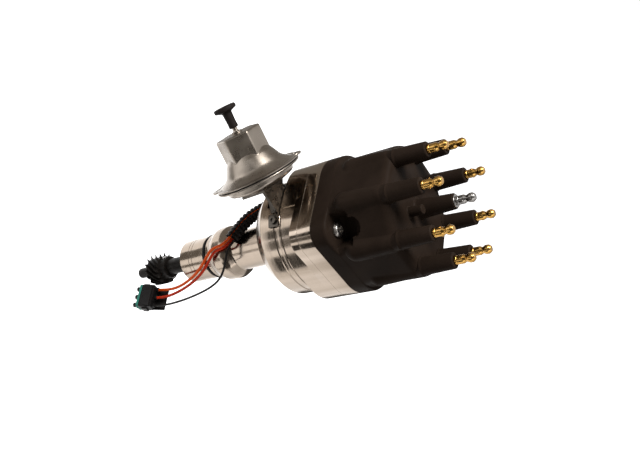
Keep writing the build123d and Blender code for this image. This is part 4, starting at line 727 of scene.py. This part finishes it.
for number in range(8):
    cap_pieces.append(lathe(f"tower_{number + 1}", [
        (0, 172.5, 0), (6.2, 172.5, 0), (6.2, 176.6, 0), (6.5, 177.2, 0.5), (6.0, 178.6, 1.5),
        (5.2, 199.7, 0.9), (3.2, 199.7, 0.1), (3.15, 199.4, 0), (0, 199.4, 0),
    ], cap_plastic, turns=64, frame_of=on_tower(number)))
cap_pieces.append(lathe("coil_tower", [
    (0, 174.0, 0), (9.0, 174.0, 0), (9.0, 176.8, 0), (6.9, 177.6, 1.8), (6.5, 181.0, 3.0), (5.2, 203.1, 0.8),
    (3.2, 203.1, 0.1), (3.15, 202.9, 0), (0, 202.9, 0),
], cap_plastic, turns=72))
boss_out = 14
boss_place = ((boss_out * math.cos(ear_turn), boss_out * math.sin(ear_turn), 0.0), *upright[1:])
cap_pieces.append(lathe("deck_boss", [
    (0, 175.0, 0), (4.6, 175.0, 0), (4.6, 176.9, 0), (3.4, 177.4, 0.8), (3.2, 187.0, 1.0), (0, 187.0, 0),
], cap_plastic, turns=48, frame_of=boss_place))
cap_skin = joined("moulded_cap", cap_pieces)
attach(cap_skin, "housing")
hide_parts("distributor_cap")


# Terminals. Turned brass plug terminals moulded into the towers: a post with two pressed nibs, a waist and a
# round head with a flat tip. The middle one is nickel plated and stands on a washer.
brass = shader("turned_brass", (0.52, 0.29, 0.075), 0.2, 1.0)
mottle(brass, "Roughness", 700, 0.16, 0.27)
mottle(brass, "Base Color", 400, (0.46, 0.25, 0.055), (0.57, 0.33, 0.095))
plated = shader("nickel_plate", (0.30, 0.285, 0.27), 0.2, 1.0)
mottle(plated, "Roughness", 900, 0.18, 0.32)


def terminal(name, base, ball, low, material, place):
    """Stud profile from its hidden stem up to the flat-tipped head, with two nibs pressed out of it."""
    stem, shank, crown, waist, line = 3.2, 2.95, 3.07, 2.2, 0.14
    pieces = [lathe(name, [
        (0, low, 0), (stem, low, 0.4), (stem, low + 9, 0.4), (waist, low + 9, 0), (waist, base - 0.2, 0),
        (shank, base - 0.2, 0.1), (shank, base + 1.6, 0.1), (shank - line, base + 1.75, 0),
        (shank - line, base + 1.95, 0), (shank, base + 2.1, 0.1), (shank, ball - 5.2, 0.4),
        (waist, ball - 3.7, 0.6), (waist, ball - 3.1, 0.4), (crown - 0.2, ball - 1.9, 0.7),
        (crown, ball - 1.0, 0.5), (crown, ball + 0.6, 0.5), (2.05, ball + 2.2, 0.25), (0, ball + 2.25, 0),
    ], material, turns=40, frame_of=place)]
    origin, _, y_axis, z_axis = (np.array(v, float) for v in place)
    for side in (1, -1):
        out = y_axis * side
        centre = origin + out * (shank - 0.4) + z_axis * (ball - 6.2)
        pieces.append(lathe(f"{name}_nib", [
            (0, -0.9, 0), (0.75, -0.9, 0.2), (0.75, 0.7, 0.3), (0, 0.9, 0),
        ], material, turns=20, frame_of=(centre, z_axis, np.cross(out, z_axis), out)))
    return joined(name, pieces)


for number in range(8):
    stud = terminal(f"plug_stud_{number + 1}", 199.7, 210.7, 158.0, brass, on_tower(number))
    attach(stud, "housing")
    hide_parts(f"plug_terminal_{number + 1}")
centre_stud = terminal("coil_stud", 203.9, 214.2, 174.6, plated, upright)
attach(centre_stud, "housing")
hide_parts("coil_terminal")
washer = lathe("stud_washer", [
    (2.3, 203.1, 0.1), (4.4, 203.1, 0.2), (4.4, 203.9, 0.3), (2.3, 203.9, 0.1), (2.3, 203.1, 0),
], plated, turns=48)
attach(washer, "housing")
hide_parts("coil_washer")


# Cap screws. Two zinc-plated screws with a socket. They go through the flange into the ears of the ring, and
# their domed heads sit in the two pockets.
def dress(node, material):
    """Give a piece that came from the CAD its surface."""
    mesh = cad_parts[node].data
    mesh.materials.clear()
    mesh.materials.append(material)


zinc = shader("zinc_plate", (0.42, 0.39, 0.36), 0.26, 1.0)
mottle(zinc, "Roughness", 420, 0.22, 0.36)
for number, turn in ((1, ear_turn), (2, ear_turn + math.pi)):
    place = ((screw_circle * math.cos(turn), screw_circle * math.sin(turn), 0.0), *upright[1:])
    head = lathe(f"pocket_screw_{number}", [
        (0, 110.5, 0), (2.2, 110.5, 0.3), (2.2, 134.9, 0), (5.0, 135.0, 0.15), (5.0, 136.4, 0.9),
        (4.1, 138.0, 1.2), (2.4, 138.3, 0.15), (2.3, 136.6, 0.1), (0, 136.4, 0),
    ], zinc, turns=64, frame_of=place)
    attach(head, "housing")
    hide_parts(f"cap_screw_{number}")


# Vacuum canister. Two zinc-plated pressings rolled together at the rim: a cup that the bracket carries, and
# a bell that is drawn into a hexagonal spring housing. Two slotted ears stand on the rim.
can_tilt = math.radians(2.5)
can_place = (
    (0.0, 20.0, 87.7), (-math.sin(can_tilt), 0.0, -math.cos(can_tilt)), (0.0, 1.0, 0.0),
    (math.cos(can_tilt), 0.0, -math.sin(can_tilt)),
)
pressed = shader("pressed_steel", (0.33, 0.29, 0.25), 0.28, 1.0)
mottle(pressed, "Roughness", 130, 0.22, 0.38)
mottle(pressed, "Base Color", 70, (0.25, 0.215, 0.18), (0.31, 0.27, 0.23))
grain(pressed, 1300, 0.000008, strength=0.3)
cup_skin = lathe("rolled_cup", [
    (3.6, 48.4, 0.1), (15.0, 48.4, 1.6), (24.0, 51.5, 2.2), (24.0, 55.8, 1.0), (29.9, 55.8, 0.7),
    (30.1, 57.0, 0.5), (29.0, 57.2, 0.1), (22.8, 57.0, 0.1), (22.8, 52.1, 1.2), (14.4, 49.6, 1.2),
    (3.6, 49.6, 0.1), (3.6, 48.4, 0),
], pressed, turns=180, frame_of=can_place)
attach(cup_skin, "housing")
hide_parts("canister_cup")


def hexagon_ring(corner, rounding, angle):
    """Distance from the axis to a hexagon whose corners are rounded by the soft minimum of its sides."""
    flat = corner * math.cos(math.pi / 6)
    r = np.full(len(angle), corner * 1.2)
    for side in range(6):
        slope = np.cos(swing(angle, math.radians(60 * side + 60)))
        r = soft_min(r, np.where(slope > 0.3, flat / np.maximum(slope, 0.3), 4 * flat), rounding)
    return r


def bell_rings(angle):
    """Rows of (height, radius against angle) from the rim, up the bell and the hexagon, to the middle of its
    end. Between the two a cone shrinks by 0.75 of the height, and the larger of cone and hexagon counts."""
    one = np.ones(len(angle))
    corner, joint_z, end_z, edge = 16.2, 71.0, 86.9, 1.3
    rim = [(57.8, 0.0), (57.8, 29.6), (58.1, 30.1), (58.6, 30.1), (58.95, 29.7), (59.0, 29.0)]
    bell = [(28.6, 59.0, 0), (26.6, 59.0, 0.8), (20.6, 62.6, 9.0), (corner, joint_z, 0)]
    rows = [(h, r * one) for h, r in rim]
    rows += [(h, r * one) for r, h in round_corners(bell, steps=7)]
    full = hexagon_ring(corner, 1.3, angle)
    for h in np.arange(71.1, 74.9, 0.15):
        rows.append((h, soft_max((corner - 0.75 * (h - joint_z)) * one, full, 0.15)))
    rows += [(h, full) for h in (76.0, 80.0, 84.0, end_z)]
    for k in range(1, 7):
        t = math.radians(15 * k)
        rows.append((end_z + edge * math.sin(t), full - edge * (1 - math.cos(t))))
    rows += [(88.2, full * 0.6), (88.2, 3.0 * one), (88.2, 0.0 * one)]
    return rows


bell_angle = np.linspace(0, 2 * np.pi, 360, endpoint=False)
bell_grid = np.stack([
    np.stack([r * np.cos(bell_angle), r * np.sin(bell_angle), np.full(len(bell_angle), h)], axis=1)
    for h, r in bell_rings(bell_angle)
])
can_axes = [np.array(v) for v in can_place]


def at_can(grid):
    """Points measured in the canister's own frame taken to their place."""
    origin, x_axis, y_axis, z_axis = can_axes
    return origin + grid[..., :1] * x_axis + grid[..., 1:2] * y_axis + grid[..., 2:] * z_axis


bell_pieces = [skin("bell_shell", at_can(bell_grid), material=pressed, sharp=40)]


def slotted_ear(turn):
    """Plate with a round end and a slot across it. The outline and the slot are two loops of equal count,
    joined by faces on both sides; the outline shrinks a little at both faces, which rounds its edges."""
    count, half_width, slot_radius, slot_run = 96, 6.5, 1.5, 3.0
    centre_x, root_x, slot_x = 26.3, 21.0, 28.4
    t = np.linspace(0, 2 * np.pi, count, endpoint=False)
    outer = np.stack([centre_x + half_width * np.cos(t), half_width * np.sin(t)], axis=1)
    square = np.abs(t - np.pi) < np.pi / 2
    outer[square, 0] = root_x
    outer[square, 1] = half_width * np.sign(np.sin(t[square])) * np.abs(np.sin(t[square])) ** 0.6
    slot_y = np.sign(np.sin(t)) * slot_run + slot_radius * np.sin(t)
    inner = np.stack([slot_x + slot_radius * np.cos(t), slot_y], axis=1)
    inner[0, 1] = 0.0
    centre = np.array([28.0, 0.0])

    def loop(line, height, shrink):
        """The line at a height, drawn in towards the middle by a share of its size."""
        flat_line = centre + (line - centre) * (1 - shrink)
        return np.column_stack([flat_line, np.full(count, height)])

    grid = np.stack([
        loop(inner, 58.0, 0), loop(outer, 58.0, 0.02), loop(outer, 58.15, 0.0), loop(outer, 58.95, 0.0),
        loop(outer, 59.15, 0.025), loop(inner, 59.15, -0.02), loop(inner, 59.0, 0),
    ])
    spin = np.array([[math.cos(turn), math.sin(turn)], [-math.sin(turn), math.cos(turn)]])
    grid[..., :2] = grid[..., :2] @ spin
    return skin("slotted_ear", at_can(grid), along=True, material=pressed, sharp=40)


for ear_az in (35.3, 215.3):
    bell_pieces.append(slotted_ear(math.radians(ear_az)))
bell_skin = joined("pressed_bell", bell_pieces)
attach(bell_skin, "housing")
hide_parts("canister_cover")


# Hose nipple and its cap. A thin plated tube with a collar, pressed into the end of the canister, and a soft
# black T-shaped rubber cap that is pushed over it.
nipple = lathe("hose_tube", [
    (0, 86.8, 0), (3.6, 86.8, 0), (3.6, 89.4, 0.3), (2.2, 89.6, 0.2), (1.75, 90.4, 0.3), (1.75, 101.3, 0.2),
    (0.9, 101.5, 0.1), (0.9, 95.0, 0), (0, 95.0, 0),
], pressed, turns=48, frame_of=can_place)
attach(nipple, "housing")
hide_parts("hose_nipple")
cap_rubber = shader("cap_rubber", (0.012, 0.009, 0.008), 0.5, Specular_IOR_Level=0.08)
mottle(cap_rubber, "Roughness", 400, 0.42, 0.6)
port_skin = lathe("port_cap_skin", [
    (1.8, 92.2, 0.1), (3.2, 92.2, 0.5), (3.1, 96.0, 0.5), (3.35, 103.0, 1.2), (7.7, 104.5, 0.9),
    (7.7, 107.2, 1.0), (0, 107.4, 0), (0, 101.8, 0), (1.8, 101.8, 0.2), (1.8, 92.2, 0),
], cap_rubber, turns=72, frame_of=can_place)
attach(port_skin, "port_cap")
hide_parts("port_cap")


# Bracket and plates. A bent, dark zinc-plated strap is screwed to the bowl by two tabs and carries the
# canister, whose pull link passes under it. The inner plates and the small screws have the same finish.
zinc_strap = shader("zinc_strap", (0.075, 0.066, 0.056), 0.34, 1.0)
mottle(zinc_strap, "Roughness", 200, 0.22, 0.38)
for node in (
    "bracket", "vacuum_link", "base_plate", "pickup_plate", "advance_plate",
    "bracket_screw_1", "bracket_screw_2", "rotor_screw_1", "rotor_screw_2",
):
    dress(node, zinc_strap)


# Inside and small pieces, seen only when the part is opened or moved: bronze bushings pressed into the
# housing, steel weights and springs on the advance plate, the rotor, the pickup and the module.
for name, colour, rough, metal, scale, low, high, nodes in (
    ("bushing_bronze", (0.50, 0.30, 0.14), 0.35, 1.0, 260, 0.28, 0.45, (
        "lower_bushing", "upper_bushing", "thrust_washer", "bearing_ring",
    )),
    ("bright_steel", (0.50, 0.49, 0.48), 0.3, 1.0, 300, 0.22, 0.4, (
        "gear_pin", "centre_cam", "cam_clip", "reluctor", "weight_a", "weight_b", "advance_spring_a",
        "advance_spring_b", "bearing_clip", "pole_piece", "canister_spring", "brush_spring",
    )),
    ("rotor_plastic", (0.030, 0.022, 0.018), 0.45, 0.0, 200, 0.38, 0.55, ("rotor",)),
    ("carbon", (0.02, 0.02, 0.02), 0.6, 0.0, 600, 0.5, 0.7, ("carbon_brush",)),
    ("coil_copper", (0.45, 0.13, 0.06), 0.35, 0.6, 900, 0.28, 0.45, ("pickup_coil",)),
):
    finish = shader(name, colour, rough, metal)
    mottle(finish, "Roughness", scale, low, high)
    for node in nodes:
        dress(node, finish)
for node, finish in (
    ("rotor_blade", brass), ("ignition_module", plug_black), ("diaphragm", rubber), ("grommet", rubber),
):
    dress(node, finish)


# Studio. A pale floor well below the part, a white surround and two large soft lamps. Floor and surround
# show bright to the camera and in reflections, and light the part less.
def white_surround(tree, lit, shown, rays):
    """Value that is shown to the named kinds of ray and lit to all others."""
    path = tree.nodes.new("ShaderNodeLightPath")
    total = path.outputs[rays[0]]
    for ray in rays[1:]:
        step = tree.nodes.new("ShaderNodeMath")
        step.operation = "MAXIMUM"
        tree.links.new(total, step.inputs[0])
        tree.links.new(path.outputs[ray], step.inputs[1])
        total = step.outputs["Value"]
    span = tree.nodes.new("ShaderNodeMapRange")
    span.inputs["To Min"].default_value = lit
    span.inputs["To Max"].default_value = shown
    tree.links.new(total, span.inputs["Value"])
    return span.outputs["Result"]


seen_rays = ("Is Camera Ray", "Is Glossy Ray", "Is Transmission Ray")
world = bpy.data.worlds.new("studio")
world.use_nodes = True
surround = world.node_tree.nodes["Background"]
surround.inputs["Color"].default_value = (1.0, 1.0, 1.0, 1.0)
level = white_surround(world.node_tree, 0.09, 1.0, seen_rays)
world.node_tree.links.new(level, surround.inputs["Strength"])
bpy.context.scene.world = world
bpy.context.scene.view_settings.view_transform = "Standard"

floor_mesh = bpy.data.meshes.new("floor")
half_floor, floor_z = 12, -0.13
square = ((-1, -1), (1, -1), (1, 1), (-1, 1))
floor_mesh.from_pydata([(x * half_floor, y * half_floor, floor_z) for x, y in square], [], [(0, 1, 2, 3)])
floor = bpy.data.objects.new("floor", floor_mesh)
bpy.context.collection.objects.link(floor)
floor_white = shader("floor_white", (0.86, 0.86, 0.86), 0.9)
floor_node = floor_white.node_tree.nodes["Principled BSDF"]
floor_node.inputs["Emission Color"].default_value = (1.0, 1.0, 1.0, 1.0)
glow = white_surround(floor_white.node_tree, 0.0, 0.86, seen_rays)
floor_white.node_tree.links.new(glow, floor_node.inputs["Emission Strength"])
floor.data.materials.append(floor_white)


def soft_lamp(name, place, aim, size, power):
    """Square area lamp that looks from its place at a point."""
    lamp = bpy.data.lights.new(name, "AREA")
    lamp.shape, lamp.size, lamp.energy = "SQUARE", size, power
    holder = bpy.data.objects.new(name, lamp)
    away = np.array(place, float) - np.array(aim, float)
    away /= np.linalg.norm(away)
    across = np.cross((0.0, 0.0, 1.0), away)
    across /= np.linalg.norm(across)
    over = np.cross(away, across)
    holder.matrix_world = Matrix(
        [[across[i], over[i], away[i], place[i]] for i in range(3)] + [[0, 0, 0, 1]]
    )
    bpy.context.collection.objects.link(holder)


bowl_middle = (0.01, 0.0, 0.09)
soft_lamp("key_lamp", (0.62, 0.05, 1.02), bowl_middle, 0.45, 20.0)
soft_lamp("fill_lamp", (-0.35, 0.75, 0.75), bowl_middle, 0.8, 3.0)


# Cards. Grey and black cards that stand round the part, lie on the floor and hang behind the camera, seen
# only in the polished metal: they give it the dark bands that it has in a studio.
def card(name, corners, value):
    """Flat dark sheet that only reflections see."""
    mesh = bpy.data.meshes.new(name)
    mesh.from_pydata(corners, [], [(0, 1, 2, 3)])
    sheet = bpy.data.objects.new(name, mesh)
    bpy.context.collection.objects.link(sheet)
    black = shader(name, (0.0, 0.0, 0.0), 1.0, Specular_IOR_Level=0.0)
    node = black.node_tree.nodes["Principled BSDF"]
    node.inputs["Emission Color"].default_value = (value, value * 0.94, value * 0.86, 1)
    node.inputs["Emission Strength"].default_value = 1.0
    sheet.data.materials.append(black)
    sheet.visible_camera = sheet.visible_diffuse = sheet.visible_shadow = False
    sheet.visible_transmission = sheet.visible_volume_scatter = False


def spot_at(radius, turn, height):
    """Point at a distance from the shaft's axis, in metres, and at an angle round it, in degrees."""
    return (radius * math.cos(math.radians(turn)), radius * math.sin(math.radians(turn)), height)


stand, stand_low, stand_high = 0.30, -0.125, 0.30
for number, (first, last, value) in enumerate((
    (-75, 24, 0.34), (47, 64, 0.07), (66, 84, 0.20), (97, 129, 0.06), (200, 255, 0.10),
)):
    card(f"card_{number + 1}", [
        spot_at(stand, first, stand_low), spot_at(stand, last, stand_low),
        spot_at(stand, last, stand_high), spot_at(stand, first, stand_high),
    ], value)
near, far, card_z = 0.05, 0.24, -0.128
for number, (first, last, value) in enumerate(((10, 52, 0.30), (78, 92, 0.34))):
    card(f"floor_card_{number + 1}", [
        spot_at(near, first, card_z), spot_at(far, first, card_z),
        spot_at(far, last, card_z), spot_at(near, last, card_z),
    ], value)
behind = np.array(station) - np.array(ahead) * 0.35
across, over = np.array(to_right) * 0.55, np.array(to_down) * 0.55
card("card_behind", [tuple(behind + a * across + b * over) for a, b in square], 0.05)
